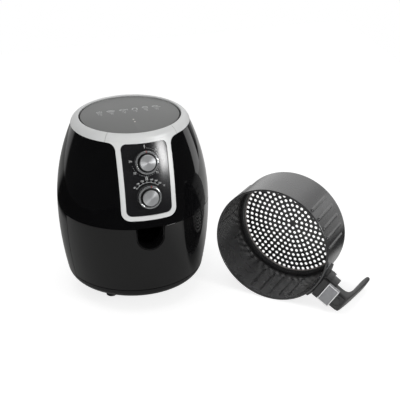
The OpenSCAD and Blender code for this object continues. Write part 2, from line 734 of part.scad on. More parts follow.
module drawer_front() color(panel_black) difference() {
    union() {
        sector(band(front_z0, front_z1, 0, wall), -drawer_angle + jamb, drawer_angle - jamb);
        sector([
            [side_r(front_z1) - return_w, front_z1 - wall], [side_r(front_z1) - wall / 2, front_z1 - wall],
            [side_r(front_z1) - wall / 2, front_z1], [side_r(front_z1) - return_w, front_z1]
        ], -drawer_angle + jamb, drawer_angle - jamb);
        sector([
            [side_r(front_z0) - return_w, front_z0], [side_r(front_z0) - wall / 2, front_z0],
            [side_r(front_z0) - wall / 2, front_z0 + wall], [side_r(front_z0) - return_w, front_z0 + wall]
        ], -drawer_angle + jamb, drawer_angle - jamb);
    }
    front_bar() notch_outline();
}

inner_r = belly_r - 21.8;
inner_t = 2;
inner_angle = 58;
module drawer_inner() color(nylon_black) difference() {
    union() {
        sector([
            [inner_r, front_z0 + wall + fit_gap], [inner_r + inner_t, front_z0 + wall + fit_gap],
            [inner_r + inner_t, pan_rim_z - 3], [inner_r, pan_rim_z - 3]
        ], -inner_angle, inner_angle);
        for (a = [-55, -32, 32, 55])
            sector(concat([[inner_r + 1, 60], [side_r(60, wall + fit_gap), 60]],
                side(80, pan_rim_z - 6, wall + fit_gap, 4), [[inner_r + 1, pan_rim_z - 6]]), a - 1.2, a + 1.2);
    }
    front_bar() notch_outline(3.2);
}

module drawer_collar() color(nylon_black) intersection() {
    difference() {
        front_bar() notch_outline(-fit_gap);
        front_bar() notch_outline(-2.4);
    }
    translate([0, 0, notch_bottom - 5]) difference() {
        cylinder(r = side_r(seam_z) - 0.8, h = front_z1 - notch_bottom + 5 - 0.3);
        translate([0, 0, -1]) cylinder(r = inner_r - 3, h = 100);
    }
}

pan_low_r = pan_r - 2.4;
pan_corner = 8;

// Inner radius of the pan at height z
function pan_in(z) = pan_low_r + (pan_r - pan_low_r) * (z - pan_z - pan_corner) / (pan_rim_z - pan_z - pan_corner);

module pan() color(coat_black) difference() {
    revolve(concat(
        [[0, pan_z], [pan_low_r + pan_t - pan_corner, pan_z]],
        arc([pan_low_r + pan_t - pan_corner, pan_z + pan_corner], pan_corner, -90, 0, 4),
        [[pan_r + pan_t, pan_rim_z - pan_t], [pan_flange_r, pan_rim_z - pan_t], [pan_flange_r, pan_rim_z],
         [pan_r, pan_rim_z]],
        arc([pan_low_r + pan_t - pan_corner, pan_z + pan_corner], pan_corner - pan_t, 0, -90, 4),
        [[0, pan_z + pan_t]]));
    intersection() {
        front_bar() notch_outline(2);
        translate([0, 0, notch_bottom - 10]) cylinder(r = reach, h = 100);
    }
}

bracket_top = pan_z + 75;
pan_side = pan_in(bracket_top) + pan_t + fit_gap;
module pan_bracket() color(steel) for (s = [-1, 1]) rotate([0, 0, s * 30 - 90])
    translate([pan_side, -9, bracket_top - 40]) cube([inner_r - 0.6 - pan_side, 18, 40]);

module pan_screws() color(zinc) for (s = [-1, 1], z = [bracket_top - 30, bracket_top - 8]) rotate([0, 0, s * 30 - 90])
    translate([pan_in(z) - 1.6, 0, z]) rotate([0, 90, 0]) cylinder(r1 = 2.5, r2 = 4, h = 1.4);

// ---- Basket, drawn upright with its rim at z = 0 and its handle toward -Y ----

// The basket lies on its rim and on the ends of its ribs
rim_h = 3.2;
rim_edge = 0.8;
rib_z0 = -14;
rib_out = 0.3;
wall_slope = atan((basket_r - basket_low_r) / (basket_h - basket_corner - rim_h));

function wall_r(z) = basket_r + (z + rim_h) * tan(wall_slope);

rib_foot = [wall_r(rib_z0 - rib_len) + rib_out - rib_fade, rib_z0 - rib_len];
rim_foot = [rim_r, rim_edge - rim_h];
foot_span = [rim_foot[0] - rib_foot[0], rib_foot[1] - rim_foot[1]];
basket_tilt = atan2(foot_span[1], foot_span[0]) + acos(rib_r / norm(foot_span));
basket_lift = rim_foot[0] * cos(basket_tilt) - rim_foot[1] * sin(basket_tilt);

module lay_basket() translate([basket_at[0], basket_at[1], basket_lift])
    rotate([0, 0, basket_heading]) rotate([0, 90 - basket_tilt, 0]) rotate([0, 0, basket_roll]) children();

corner_c = [basket_low_r - basket_corner, basket_corner - basket_h];
seat_r = corner_c[0] - 1.3;
floor_top = -basket_h + 2 * sheet + 0.05;

module at_ribs() for (g = [60, 180, 300], i = [-2:2]) rotate([0, 0, g + i * rib_step])
    translate([0, -wall_r(rib_z0) - rib_out, rib_z0])
    rotate([wall_slope + asin(rib_fade / rib_len), 0, 0]) children();

module rib() translate([0, 0, -rib_len])
    revolve(concat(arc([0, 0], rib_r, -90, 0, 3), arc([0, rib_len], rib_r, 0, 90, 3)));

module rib_groove() translate([0, 0, -rib_len]) linear_extrude(rib_len) {
    circle(rib_r - sheet);
    translate([sheet - rib_r, 0]) square([2 * (rib_r - sheet), 3 * sheet]);
}

module basket_wall() color(coat_black) lay_basket() difference() {
    union() {
        revolve(concat(
            [[basket_r - sheet, 0], [rim_r - rim_edge, 0], [rim_r, -rim_edge], rim_foot,
             [rim_r - rim_edge, -rim_h], [basket_r, -rim_h]],
            arc(corner_c, basket_corner, 0, -90, 5),
            [[seat_r, -basket_h], [seat_r, -basket_h + sheet]],
            arc(corner_c, basket_corner - sheet, -90, 0, 5)));
        at_ribs() rib();
    }
    at_ribs() rib_groove();
}

// Ring k has 6k holes, and each ring starts a little further round than the one outside it.
hole_turn = -4.5;
hole_lead = 41.5;
module basket_floor() color(coat_black) lay_basket() translate([0, 0, floor_top - sheet]) {
    linear_extrude(sheet) difference() {
        circle(corner_c[0] - fit_gap);
        for (k = [1:hole_rings], i = [0:6 * k - 1])
            rotate(hole_turn + (60 * i + hole_lead) / k) translate([k * hole_pitch, 0]) circle(d = hole_d, $fn = 20);
    }
}

strap_t = 2;
strap_r = basket_r + fit_gap;
module wall_patch(r0, r1, x, z0, z1) intersection() {
    translate([0, 0, z0]) difference() {
        cylinder(r = r1, h = z1 - z0);
        translate([0, 0, -1]) cylinder(r = r0, h = z1 - z0 + 2);
    }
    translate([-x, -reach, z0]) cube([2 * x, reach, z1 - z0]);
}

module handle_bracket() color(steel) lay_basket() {
    wall_patch(strap_r, strap_r + strap_t, 32, -32, -6);
    wall_patch(strap_r, strap_r + strap_t, 22, -56, -31);
}

rivet_at = [for (s = [-1, 1], z = [-20, -48]) [s * 9, z]];
module handle_rivets() color(zinc) lay_basket() for (p = rivet_at) rotate([0, 0, p[0]])
    translate([0, -wall_r(p[1]) + sheet + 0.1, p[1]]) rotate([-90, 0, 0]) cylinder(r1 = 3.4, r2 = 2, h = 1.4);

base_gap_r = strap_r + strap_t + fit_gap;
root_end = rim_r + 27.6;
lug_y = rim_r + 2.1;
lug_end = rim_r + 14.1;
module handle_base() color(handle_grey) lay_basket() difference() {
    union() {
        wall_patch(base_gap_r, base_gap_r + 5, 38, -30, -9);
        translate([0, 0, -30]) linear_extrude(24) difference() {
            union() {
                translate([-22.5, -root_end]) square([45, root_end - rim_r + 0.4]);
                translate([-27, -lug_end]) square([54, lug_end - lug_y]);
            }
            circle(base_gap_r);
        }
    }
    translate([-neck_w - run_gap, -neck_end, -neck_t - fit_gap]) cube([2 * neck_w + 2 * run_gap, neck_end - strap_r, 40]);
}

// Stations along the handle: inner point, outer point (each as y and z), half width, squareness
grip_stations = [
    [[-rim_r - 1.6, -neck_t], [-rim_r - 1.6, 0], neck_w, 8],
    [[-neck_end + 23, -neck_t], [-neck_end + 20, 0], neck_w, 8],
    [[-neck_end + 14, -neck_t - 1.5], [-neck_end + 7, 0], neck_w, 7],
    [[-neck_end + 8, -neck_t - 8], [-neck_end + 0.8, -0.6], neck_w - 0.3, 5],
    [[-neck_end + 5, -neck_t - 18], [-neck_end - 3.4, -21], neck_w - 1, 4],
    [[-neck_end + 3.2, -neck_t - 30], [-neck_end - 6, -41], neck_w - 2, 3.4],
    [[-neck_end + 2, -0.6 * grip_drop], [-neck_end - 8.6, -0.58 * grip_drop], neck_w - 2.6, 3],
    [[-neck_end + 0.6, -0.84 * grip_drop], [-neck_end - 10.8, -0.82 * grip_drop], neck_w - 3, 3],
    [[-neck_end - 1, -0.95 * grip_drop], [-neck_end - 11.6, -0.94 * grip_drop], neck_w - 4.5, 3],
    [[-neck_end - 3.4, -0.99 * grip_drop], [-neck_end - 10.6, -0.985 * grip_drop], neck_w - 8, 2.6]
];
ring_sides = 20;

function sgn_pow(v, e) = sign(v) * pow(abs(v), e);
function station_point(s, b) = let (
    mid = (s[0] + s[1]) / 2,
    half = (s[1] - s[0]) / 2,
    u = sgn_pow(cos(b), 2 / s[3]),
    v = sgn_pow(sin(b), 2 / s[3]))
    [s[2] * u, mid[0] + half[0] * v, mid[1] + half[1] * v];

// One closed solid through a list of stations
module loft(stations, m = ring_sides) {
    n = len(stations);
    points = [for (s = stations, j = [0:m - 1]) station_point(s, 360 * (j + 0.5) / m)];
    faces = concat(
        [[for (j = [0:m - 1]) j]],
        [for (i = [0:n - 2], j = [0:m - 1])
            [i * m + j, (i + 1) * m + j, (i + 1) * m + (j + 1) % m, i * m + (j + 1) % m]],
        [[for (j = [m - 1:-1:0]) (n - 1) * m + j]]);
    polyhedron(points, faces);
}

button_y0 = neck_end - 4;
button_y1 = neck_end - 20.4;
button_t = 4.8;
pocket_z = -button_travel - button_t;
side_gap = 0.6;
plunger_y = (button_y0 + button_y1) / 2;
plunger_r = 3;
module handle_body() color(handle_grey) lay_basket() difference() {
    loft(grip_stations);
    translate([-button_w - side_gap, -button_y0 - side_gap, pocket_z])
        cube([2 * (button_w + side_gap), button_y0 - button_y1 + 2 * side_gap, 40]);
    translate([0, -plunger_y, pocket_z - button_travel - 1]) cylinder(r = plunger_r + run_gap, h = 10);
}

module handle_screws() color(zinc) lay_basket() for (s = [-1, 1])
    translate([s * 24.6, -rim_r - 8.1, -30 - 1.6]) cylinder(r = 1.8, h = 1.5);

module release_button() color(handle_grey) lay_basket() {
    difference() {
        translate([-button_w, -button_y0, fit_gap - button_t])
            cube([2 * button_w, button_y0 - button_y1, button_t]);
        translate([0, -button_y0 + 2, 11]) rotate([0, 90, 0]) cylinder(r = 12.4, h = 22, center = true);
    }
    translate([0, -plunger_y, -button_t - button_travel]) cylinder(r = plunger_r, h = button_travel + 1);
}

guard_y = -rim_r - 14.6;
module button_guard() color(clear_grey) lay_basket() difference() {
    translate([-neck_w - run_gap - 1.8, guard_y - guard_len, -4]) cube([2 * neck_w + 2 * run_gap + 3.6, guard_len, 4 + run_gap + guard_t]);
    translate([-neck_w - run_gap, guard_y - guard_len - 1, -5]) cube([2 * neck_w + 2 * run_gap, guard_len + 2, 5 + run_gap]);
}

// ---- The part ----

upper_shell();
lower_shell();
base_plate();
feet();
base_screws();
top_ring();
front_frame();
control_panel();
top_panel();
top_seal();
lamp_lenses();
lamp_board();
control_bracket();
timer_unit();
timer_bell();
thermostat();
thermostat_bulb();
timer_spindle();
timer_core();
timer_skirt();
timer_cap();
timer_pointer();
thermo_spindle();
thermo_core();
thermo_skirt();
thermo_cap();
thermo_pointer();
deck_plate();
heat_bowl();
heating_element();
element_clips();
thermal_cutout();
motor_bracket();
motor();
motor_shaft();
hot_fan();
fan_nut();
cooling_fan();
exhaust_duct();
exhaust_grille();
chamber_liner();
pan_rails();
micro_switch();
cord_gland();
drawer_front();
drawer_inner();
drawer_collar();
pan();
pan_bracket();
pan_screws();
basket_wall();
basket_floor();
handle_bracket();
handle_rivets();
handle_base();
handle_body();
handle_screws();
release_button();
button_guard();
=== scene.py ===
"""Looks of a drawer air fryer with its frying basket taken out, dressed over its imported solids.

Sizes are in millimetres in the part's own frame; piece() turns them to metres. Front is -Y, up is +Z.
"""
import itertools
from math import acos, asin, atan, atan2, copysign, cos, degrees, dist, hypot, pi, radians, sin, sqrt, tan

import bmesh
import bpy
import numpy as np
from mathutils import Matrix, Vector
from mathutils.geometry import delaunay_2d_cdt


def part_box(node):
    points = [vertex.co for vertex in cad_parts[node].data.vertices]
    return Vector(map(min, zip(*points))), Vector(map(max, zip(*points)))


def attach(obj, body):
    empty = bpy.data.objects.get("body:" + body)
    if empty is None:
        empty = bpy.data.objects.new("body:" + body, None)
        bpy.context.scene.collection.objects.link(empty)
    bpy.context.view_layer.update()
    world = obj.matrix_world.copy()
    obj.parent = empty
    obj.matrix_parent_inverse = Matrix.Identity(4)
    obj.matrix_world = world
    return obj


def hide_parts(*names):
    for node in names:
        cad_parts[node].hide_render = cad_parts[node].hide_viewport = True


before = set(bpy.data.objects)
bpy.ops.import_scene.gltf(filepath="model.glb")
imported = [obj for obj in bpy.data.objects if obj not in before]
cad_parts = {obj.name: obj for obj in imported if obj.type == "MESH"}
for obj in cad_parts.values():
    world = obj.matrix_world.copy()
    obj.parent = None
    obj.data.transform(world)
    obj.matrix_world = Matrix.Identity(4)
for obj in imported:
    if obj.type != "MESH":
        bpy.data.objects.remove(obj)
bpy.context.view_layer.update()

# ---- Lower shell ----
# The lower half of the housing: one moulding in gloss black ABS with a full round skirt and a sloping
# underside. Its wall goes up round the sides and back, and leaves the front open for the drawer.

BELLY_R, BELLY_Z = 140.0, 175.0
UPPER_ARC, LOWER_ARC = 383.5, 636.0
WALL = 3.0
SEAM_Z, SEAM_GAP = 181.0, 0.6
DRAWER_Z, DRAWER_ANGLE = 50.0, 72.0
BASE_R, BASE_Z, BASE_SLOPE, CORNER_R = 82.0, 14.0, 28.5, 24.0


def side_r(z, out=0.0):
    """Radius of the housing's side at height z, or of a surface that far outside it."""
    big = UPPER_ARC if z >= BELLY_Z else LOWER_ARC
    return BELLY_R - big + sqrt((big + out) ** 2 - (z - BELLY_Z) ** 2)


def side_normal(p):
    """Outward direction of the housing's side at a point on it or near it."""
    big = UPPER_ARC if p[2] >= BELLY_Z else LOWER_ARC
    r = hypot(p[0], p[1])
    if r < 60:
        return None
    k = (r + big - BELLY_R) / r
    return Vector((p[0] * k, p[1] * k, p[2] - BELLY_Z)).normalized()


def side_line(z0, z1, out=0.0, steps=16):
    """The housing's side from one height to another, in radius and height."""
    return [(side_r(z, out), z) for z in np.linspace(z0, z1, steps + 1)]


def arc(cx, cy, r, a0, a1, steps=8):
    return [(cx + r * cos(radians(a)), cy + r * sin(radians(a))) for a in np.linspace(a0, a1, steps + 1)]


def softened(outline, radius=0.5, steps=3, over=24):
    """The closed outline with each corner sharper than over degrees rounded to a radius."""
    soft = []
    count = len(outline)
    for i, p in enumerate(outline):
        p = Vector(p)
        back, ahead = Vector(outline[i - 1]) - p, Vector(outline[(i + 1) % count]) - p
        if back.length < 1e-6 or ahead.length < 1e-6:
            continue
        turn = pi - back.angle(ahead)
        if turn < radians(over) or abs(p.x) < 1e-6:
            soft.append((p.x, p.y))
            continue
        reach = min(radius * tan(turn / 2), 0.45 * back.length, 0.45 * ahead.length)
        r = reach / tan(turn / 2)
        middle = (back.normalized() + ahead.normalized()).normalized() * (r / cos(turn / 2))
        centre = p + middle
        a, b = p + back.normalized() * reach - centre, p + ahead.normalized() * reach - centre
        for k in range(steps + 1):
            f = k / steps
            v = a * (1 - f) + b * f
            v = centre + v.normalized() * r
            soft.append((v.x, v.y))
    return soft


def tube(rows, n, first=0, closed=False):
    """Faces between neighbouring rows of n points, each row a closed loop.

    closed joins the last row to the first.
    """
    faces = []
    for i in range(rows if closed else rows - 1):
        a, b = first + i * n, first + (i + 1) % rows * n
        faces += [(a + j, b + j, b + (j + 1) % n, a + (j + 1) % n) for j in range(n)]
    return faces


def ends(rows, n):
    """The faces that close the first and the last of such rows."""
    return [tuple(range(n)), tuple(range((rows - 1) * n, rows * n))[::-1]]


def turned(outline, start=0.0, end=360.0, steps=180):
    """Points and faces of a closed outline, in radius and height, turned from start to end degrees.

    The angles are counted from the front and go up toward +X.
    """
    full = end - start > 359.9
    columns = steps if full else steps + 1
    verts = []
    for i in range(columns):
        a = radians(start + (end - start) * i / steps)
        verts += [(r * sin(a), -r * cos(a), z) for r, z in outline]
    faces = tube(columns, len(outline), closed=full)
    return verts, faces if full else faces + ends(columns, len(outline))


def joined(*parts):
    """Several (points, faces) as one."""
    verts, faces = [], []
    for v, f in parts:
        base = len(verts)
        verts += v
        faces += [tuple(base + i for i in face) for face in f]
    return verts, faces


def shape(verts, faces):
    """A clean mesh, in millimetres, with its faces turned outward."""
    work = bmesh.new()
    made = [work.verts.new(v) for v in verts]
    for face in faces:
        work.faces.new([made[i] for i in face])
    bmesh.ops.remove_doubles(work, verts=work.verts, dist=0.002)
    bmesh.ops.recalc_face_normals(work, faces=work.faces)
    mesh = bpy.data.meshes.new("shape")
    work.to_mesh(mesh)
    work.free()
    return mesh


def shown(name, data):
    """A new object in the scene."""
    thing = bpy.data.objects.new(name, data)
    bpy.context.scene.collection.objects.link(thing)
    return thing


def carried_out(thing):
    """The mesh an object has once its modifiers or its letters are worked out."""
    bpy.context.view_layer.update()
    return bpy.data.meshes.new_from_object(thing.evaluated_get(bpy.context.evaluated_depsgraph_get()))


def cut(mesh, *cutters):
    """The mesh less the cutters."""
    for tool in cutters:
        thing, other = shown("cut", mesh), shown("cutter", tool)
        saw = thing.modifiers.new("saw", "BOOLEAN")
        saw.operation, saw.solver, saw.object = "DIFFERENCE", "EXACT", other
        mesh = carried_out(thing)
        for o in (thing, other):
            bpy.data.objects.remove(o)
    return mesh


def piece(
    name, mesh, body, finish, slot, stands_for=(), sharp=30, curve=None, is_round=True,
    place=Matrix.Identity(4), laid=None
):
    """Shades a mesh given in millimetres, sets it in its place in metres and hangs it on its body.

    Faces that follow the curve, or that are round about the mesh's own Z, get that form's exact normals.
    """
    mesh.name = name
    mesh.shade_smooth()
    mesh.set_sharp_from_angle(angle=radians(sharp))
    normals = [corner.vector.copy() for corner in mesh.corner_normals]
    for face in mesh.polygons:
        for i in face.loop_indices:
            p, n = mesh.vertices[mesh.loops[i].vertex_index].co, normals[i]
            exact = curve(p) if curve else None
            if exact and abs(exact.dot(face.normal)) > 0.97:
                normals[i] = exact if exact.dot(face.normal) > 0 else -exact
            elif is_round and hypot(p.x, p.y) > 0.5:
                around = Vector((-p.y, p.x, 0)).normalized()
                if abs(n.dot(around)) < 0.12:
                    normals[i] = (n - around * n.dot(around)).normalized()
    if laid:
        mesh.transform(laid)
        normals = [laid.to_3x3() @ n for n in normals]
    mesh.transform(Matrix.Scale(0.001, 4))
    mesh.normals_split_custom_set([n.normalized() for n in normals])
    mesh.materials.clear()
    mesh.materials.append(finish)
    thing = shown(name, mesh)
    thing.matrix_world = Matrix.Translation(place.translation * 0.001) @ place.to_3x3().to_4x4()
    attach(thing, body)
    if stands_for:
        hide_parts(*stands_for)


def linear(code):
    """An sRGB hex colour as linear RGBA."""
    parts = [int(code[i : i + 2], 16) / 255 for i in (1, 3, 5)]
    return tuple(c / 12.92 if c <= 0.04045 else ((c + 0.055) / 1.055) ** 2.4 for c in parts) + (1.0,)


def add_node(material, kind, inputs=(), stops=(), **settings):
    """Adds a shader node; each input takes a value, an output, or a node, which stands for its first output.

    stops are a colour ramp's, as pairs of a position and an sRGB hex colour.
    """
    tree = material.node_tree
    made = tree.nodes.new("ShaderNode" + kind)
    for name, value in settings.items():
        setattr(made, name, value)
    if stops:
        bar = made.color_ramp.elements
        while len(bar) < len(stops):
            bar.new(0.5)
        for element, (position, code) in zip(bar, stops):
            element.position, element.color = position, linear(code)
    for name, value in dict(inputs).items():
        if isinstance(value, bpy.types.Node):
            value = value.outputs[0]
        if isinstance(value, bpy.types.NodeSocket):
            tree.links.new(value, made.inputs[name])
        else:
            made.inputs[name].default_value = value
    return made


def blank(name):
    """A node material with nothing in it, and its object coordinates in metres."""
    material = bpy.data.materials.new(name)
    material.use_nodes = True
    material.node_tree.nodes.clear()
    return material, add_node(material, "TexCoord").outputs["Object"]


def skinned(material, tone, rough, relief, surface):
    """Closes a material with its colour, roughness and relief on one skin."""
    skin_of = {"Base Color": tone, "Roughness": rough, "Normal": relief, **surface}
    add_node(material, "OutputMaterial", {"Surface": add_node(material, "BsdfPrincipled", skin_of)})
    return material


MOTTLE = (0.3, 0.7)


def mottled(name, pattern, stops, rough, bump, surface, fine=None):
    """A material with a noise pattern that varies its colour, from stops, and its roughness.

    A pattern is a noise's scale, detail and, where it is not plain, roughness. rough is the roughness at the
    pattern's two ends. bump is the strength and depth of the relief, in metres, which follows the fine
    pattern, or the same one where none is given.
    """
    material, where = blank(name)
    knobs = ("Scale", "Detail", "Roughness")
    mottle = add_node(material, "TexNoise", {"Vector": where, **dict(zip(knobs, pattern))})
    grain = add_node(material, "TexNoise", {"Vector": where, **dict(zip(knobs, fine))}) if fine else mottle
    low, high = MOTTLE if fine else (0.0, 1.0)
    ends_of = {"From Min": low, "From Max": high, "To Min": rough[0], "To Max": rough[1]}
    blur = add_node(material, "MapRange", {"Value": mottle, **ends_of})
    relief = add_node(material, "Bump", {"Height": grain, "Strength": bump[0], "Distance": bump[1]})
    return skinned(material, add_node(material, "ValToRGB", {"Fac": mottle}, stops), blur, relief, surface)


# Polished ABS, moulded in a bright tool: deep black, a sharp reflection with a trace of moulding ripple some
# 30 mm long, and a faint haze of handling that changes the gloss from place to place.
gloss_abs = mottled(
    "gloss_black_abs", (14.0, 4.0, 0.6), ((0.3, "#070708"), (0.7, "#0a0a0b")), (0.045, 0.085), (0.05, 0.0006),
    {"IOR": 1.5}, (30.0, 1.0)
)

slope_n = Vector((-sin(radians(BASE_SLOPE)), cos(radians(BASE_SLOPE))))
lower_centre = Vector((BELLY_R - LOWER_ARC, BELLY_Z))
corner_reach = LOWER_ARC - CORNER_R
above_slope = (lower_centre - Vector((BASE_R, BASE_Z))).dot(slope_n) - CORNER_R
corner_turn = degrees(asin(above_slope / corner_reach)) - BASE_SLOPE
corner_c = lower_centre + corner_reach * Vector((cos(radians(corner_turn)), -sin(radians(corner_turn))))
SKIRT_TOP = DRAWER_Z - SEAM_GAP / 2
FLOOR_Z = SKIRT_TOP - WALL


def skirt_line(out=0.0):
    """From the flat base up the underside and round the corner, to where the side begins."""
    foot = (BASE_R + out / sin(radians(BASE_SLOPE)), BASE_Z)
    return [foot] + arc(corner_c.x, corner_c.y, CORNER_R + out, BASE_SLOPE - 90, -corner_turn, 12)


inside = [p for p in skirt_line(-WALL) if p[1] < FLOOR_Z - 1]
bowl_line = [(0, SKIRT_TOP), (0, FLOOR_Z), (inside[-1][0] + 0.6, FLOOR_Z)] + inside[::-1]
front_skirt = softened(bowl_line + skirt_line() + [(side_r(SKIRT_TOP), SKIRT_TOP)], 0.5)
top_z = SEAM_Z - SEAM_GAP / 2
wall_out, wall_in = side_line(SKIRT_TOP, top_z, steps=22), side_line(SKIRT_TOP, top_z, -WALL, 8)[::-1]
front_part = turned(front_skirt, -DRAWER_ANGLE, DRAWER_ANGLE, 96)
rear_line = softened(bowl_line + skirt_line() + wall_out + wall_in, 0.5)
rear_part = turned(rear_line, DRAWER_ANGLE, 360 - DRAWER_ANGLE, 144)
lower = shape(*joined(front_part, rear_part))
piece("lower_shell_moulding", lower, "housing", gloss_abs, "gloss_shell", ["lower_shell"], curve=side_normal)

# ---- Base plate, feet and cord gland ----
# A plate of black nylon with air slots closes the underside; four rubber feet and their screws hold it. The
# gland is a rubber grommet low at the back. All are moulded or bought parts that keep their solid's shape.

# Glass-filled nylon from a spark-eroded tool: dull, with a grain of 0.8 mm that breaks up any highlight.
nylon = mottled(
    "moulded_black_nylon", (40.0, 3.0), ((0.3, "#141415"), (0.7, "#1a1a1b")), (0.46, 0.6), (0.25, 0.0002),
    {"IOR": 1.53}, (1300.0, 2.0)
)

# Moulded rubber: matt, slightly bloomed grey in patches some 6 mm across.
rubber = mottled(
    "moulded_black_rubber", (160.0, 4.0), ((0.35, "#1b1b1c"), (0.7, "#29292a")), (0.65, 0.85), (0.15, 0.0002),
    {"IOR": 1.52}
)


def dress(finish, *nodes):
    """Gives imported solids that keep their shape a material."""
    for name in nodes:
        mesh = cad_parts[name].data
        mesh.materials.clear()
        mesh.materials.append(finish)


dress(nylon, "base_plate")
dress(rubber, "feet", "cord_gland")

# ---- Heating, air and switchgear ----
# What the housing holds: deck, bowl, tubular element, fans and motor, duct, liner and rails, timer and
# thermostat on their plates. Pressed from zinc-coated sheet, turned, or moulded, and held by tabs and screws.

# Zinc-coated sheet: dull grey metal with spangle of 4 mm and faint rolling lines.
zinc_sheet, where = blank("zinc_coated_sheet")
spangle = add_node(zinc_sheet, "TexVoronoi", {"Vector": where, "Scale": 250.0})
stops = ((0.2, "#a7abaf"), (0.8, "#c3c7ca"))
tone = add_node(zinc_sheet, "ValToRGB", {"Fac": spangle.outputs["Color"]}, stops)
worn = add_node(zinc_sheet, "MapRange", {"Value": spangle.outputs["Distance"], "To Min": 0.3, "To Max": 0.5})
rolled = add_node(zinc_sheet, "TexNoise", {"Vector": where, "Scale": 900.0, "Detail": 1.0})
line = add_node(zinc_sheet, "Bump", {"Height": rolled, "Strength": 0.1, "Distance": 0.0001})
METAL = {"Metallic": 1.0}
skinned(zinc_sheet, tone, worn, line, METAL)

# Bright-plated steel of screws, rivets and cases: smoother, with small dull handling marks.
plated = mottled(
    "zinc_plated_steel", (260.0, 4.0), ((0.35, "#9fa4a8"), (0.65, "#bcc0c3")), (0.2, 0.42), (0.1, 0.0001),
    METAL
)

# Stainless heating tube after its first heats: brownish straw tints in bands of about 15 mm.
straw = ((0.3, "#5e5a58"), (0.5, "#7a6c5c"), (0.7, "#6d6f73"))
heated = mottled("heat_tinted_steel", (65.0, 3.0), straw, (0.35, 0.55), (0.1, 0.0002), METAL)

# Drawn copper of the thermostat's bulb: warm, with darker tarnish round small patches.
copper = mottled(
    "drawn_copper", (300.0, 3.0), ((0.35, "#8e5a34"), (0.6, "#c4854b")), (0.45, 0.25), (0.1, 0.0001), METAL
)

# Natural nylon of the cooling fan: cream, a little translucent, with flow marks 10 mm apart.
cream_nylon = mottled(
    "natural_nylon", (100.0, 3.0), ((0.3, "#d2cdbf"), (0.7, "#dedacd")), (0.35, 0.5), (0.1, 0.0003),
    {"IOR": 1.53}
)

# Circuit board under solder mask: green laminate with its weave at 1 mm.
laminate, where = blank("solder_masked_laminate")
green = {"Color1": linear("#2c6542"), "Color2": linear("#32704a")}
weave = add_node(laminate, "TexChecker", {"Vector": where, "Scale": 1000.0, **green})
gleam = add_node(laminate, "MapRange", {"Value": weave.outputs["Fac"], "To Min": 0.38, "To Max": 0.44})
thread = add_node(laminate, "Bump", {"Height": weave.outputs["Fac"], "Strength": 0.1, "Distance": 0.0001})
skinned(laminate, weave, gleam, thread, {"IOR": 1.55})

dress(
    zinc_sheet, "deck_plate", "heat_bowl", "motor_bracket", "exhaust_duct", "chamber_liner",
    "control_bracket", "pan_bracket", "hot_fan", "handle_bracket"
)
dress(
    plated, "motor", "motor_shaft", "fan_nut", "element_clips", "timer_unit", "timer_bell", "thermostat",
    "timer_spindle", "thermo_spindle"
)
dress(plated, "base_screws", "pan_screws", "handle_screws", "handle_rivets")
dress(heated, "heating_element")
dress(copper, "thermostat_bulb")
dress(cream_nylon, "cooling_fan")
dress(laminate, "lamp_board")
dress(nylon, "thermal_cutout", "micro_switch", "pan_rails", "exhaust_grille")

# ---- Upper shell ----
# The upper half of the housing, in the same gloss black ABS. It stands on the lower half behind a fine seam,
# has an opening for the control panel's frame in front and one for the grille behind, and a shelf on top.

CREST_Z, RING_Z, RING_FOOT = 344.7, 331.0, 331.2
SHOULDER_R, TRIM, TRIM_T, LIP_TURN = 18.0, 1.1, 2.2, 79.9
FRAME_W, FRAME_BOTTOM, FRAME_CORNER, FRAME_FILLET = 49.5, 197.0, 15.5, 12.0
shoulder_reach = UPPER_ARC + TRIM - SHOULDER_R
shoulder_turn = degrees(asin((CREST_Z - SHOULDER_R - BELLY_Z) / shoulder_reach))
shoulder_x = BELLY_R - UPPER_ARC + shoulder_reach * cos(radians(shoulder_turn))
RING_IN_R = shoulder_x + SHOULDER_R * cos(radians(LIP_TURN)) - 1.2
DISC_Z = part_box("top_panel")[0].z * 1000
SHELF_Z = DISC_Z - 0.2


def prism(outline, y0, y1):
    """A solid of the outline, drawn in x and z, from y0 to y1."""
    n = len(outline)
    verts = [(x, y0, z) for x, z in outline] + [(x, y1, z) for x, z in outline]
    return shape(verts, tube(2, n) + ends(2, n))


def box_outline(x, z0, z1, r, steps=6):
    """A rectangle with round corners, clockwise from its top right."""
    right = arc(x - r, z1 - r, r, 90, 0, steps) + arc(x - r, z0 + r, r, 0, -90, steps)
    return right + [(-a, b) for a, b in right[::-1]]


frame_edge = arc(FRAME_W + FRAME_FILLET, RING_FOOT - FRAME_FILLET, FRAME_FILLET, 90, 180, 10)
frame_corner = arc(FRAME_W - FRAME_CORNER, FRAME_BOTTOM + FRAME_CORNER, FRAME_CORNER, 0, -90, 10)
foot_z = SEAM_Z + SEAM_GAP / 2
foot_r, head_r = side_r(foot_z), side_r(RING_Z)
shelf = [(head_r - 1.8, RING_Z), (head_r - 3, RING_Z + 1.5), (RING_IN_R + 4, SHELF_Z - 1.2)]
shelf += [(RING_IN_R, SHELF_Z), (0, SHELF_Z), (0, SHELF_Z - WALL), (RING_IN_R - 4.8, SHELF_Z - WALL)]
shelf.append((head_r - 2 * WALL, RING_Z - WALL))
ledge = [(foot_r - WALL, foot_z + 2.4), (foot_r - 12, foot_z + 2.4), (foot_r - 12, foot_z)]
dome = side_line(foot_z, RING_Z, steps=30) + shelf + side_line(foot_z + 4, RING_Z - 4, -WALL, 12)[::-1]
dome = softened(dome + ledge, 0.5)
half = [(frame_edge[0][0], RING_Z - 0.02)] + [p for p in frame_edge + frame_corner if p[1] < RING_Z - 0.1]
opening = half + [(-x, z) for x, z in half[::-1]]
upper = cut(shape(*turned(dome)), prism(opening, -170, -75), prism(box_outline(34, 220, 260, 5), 60, 170))
piece("upper_shell_moulding", upper, "housing", gloss_abs, "gloss_shell", ["upper_shell"], curve=side_normal)

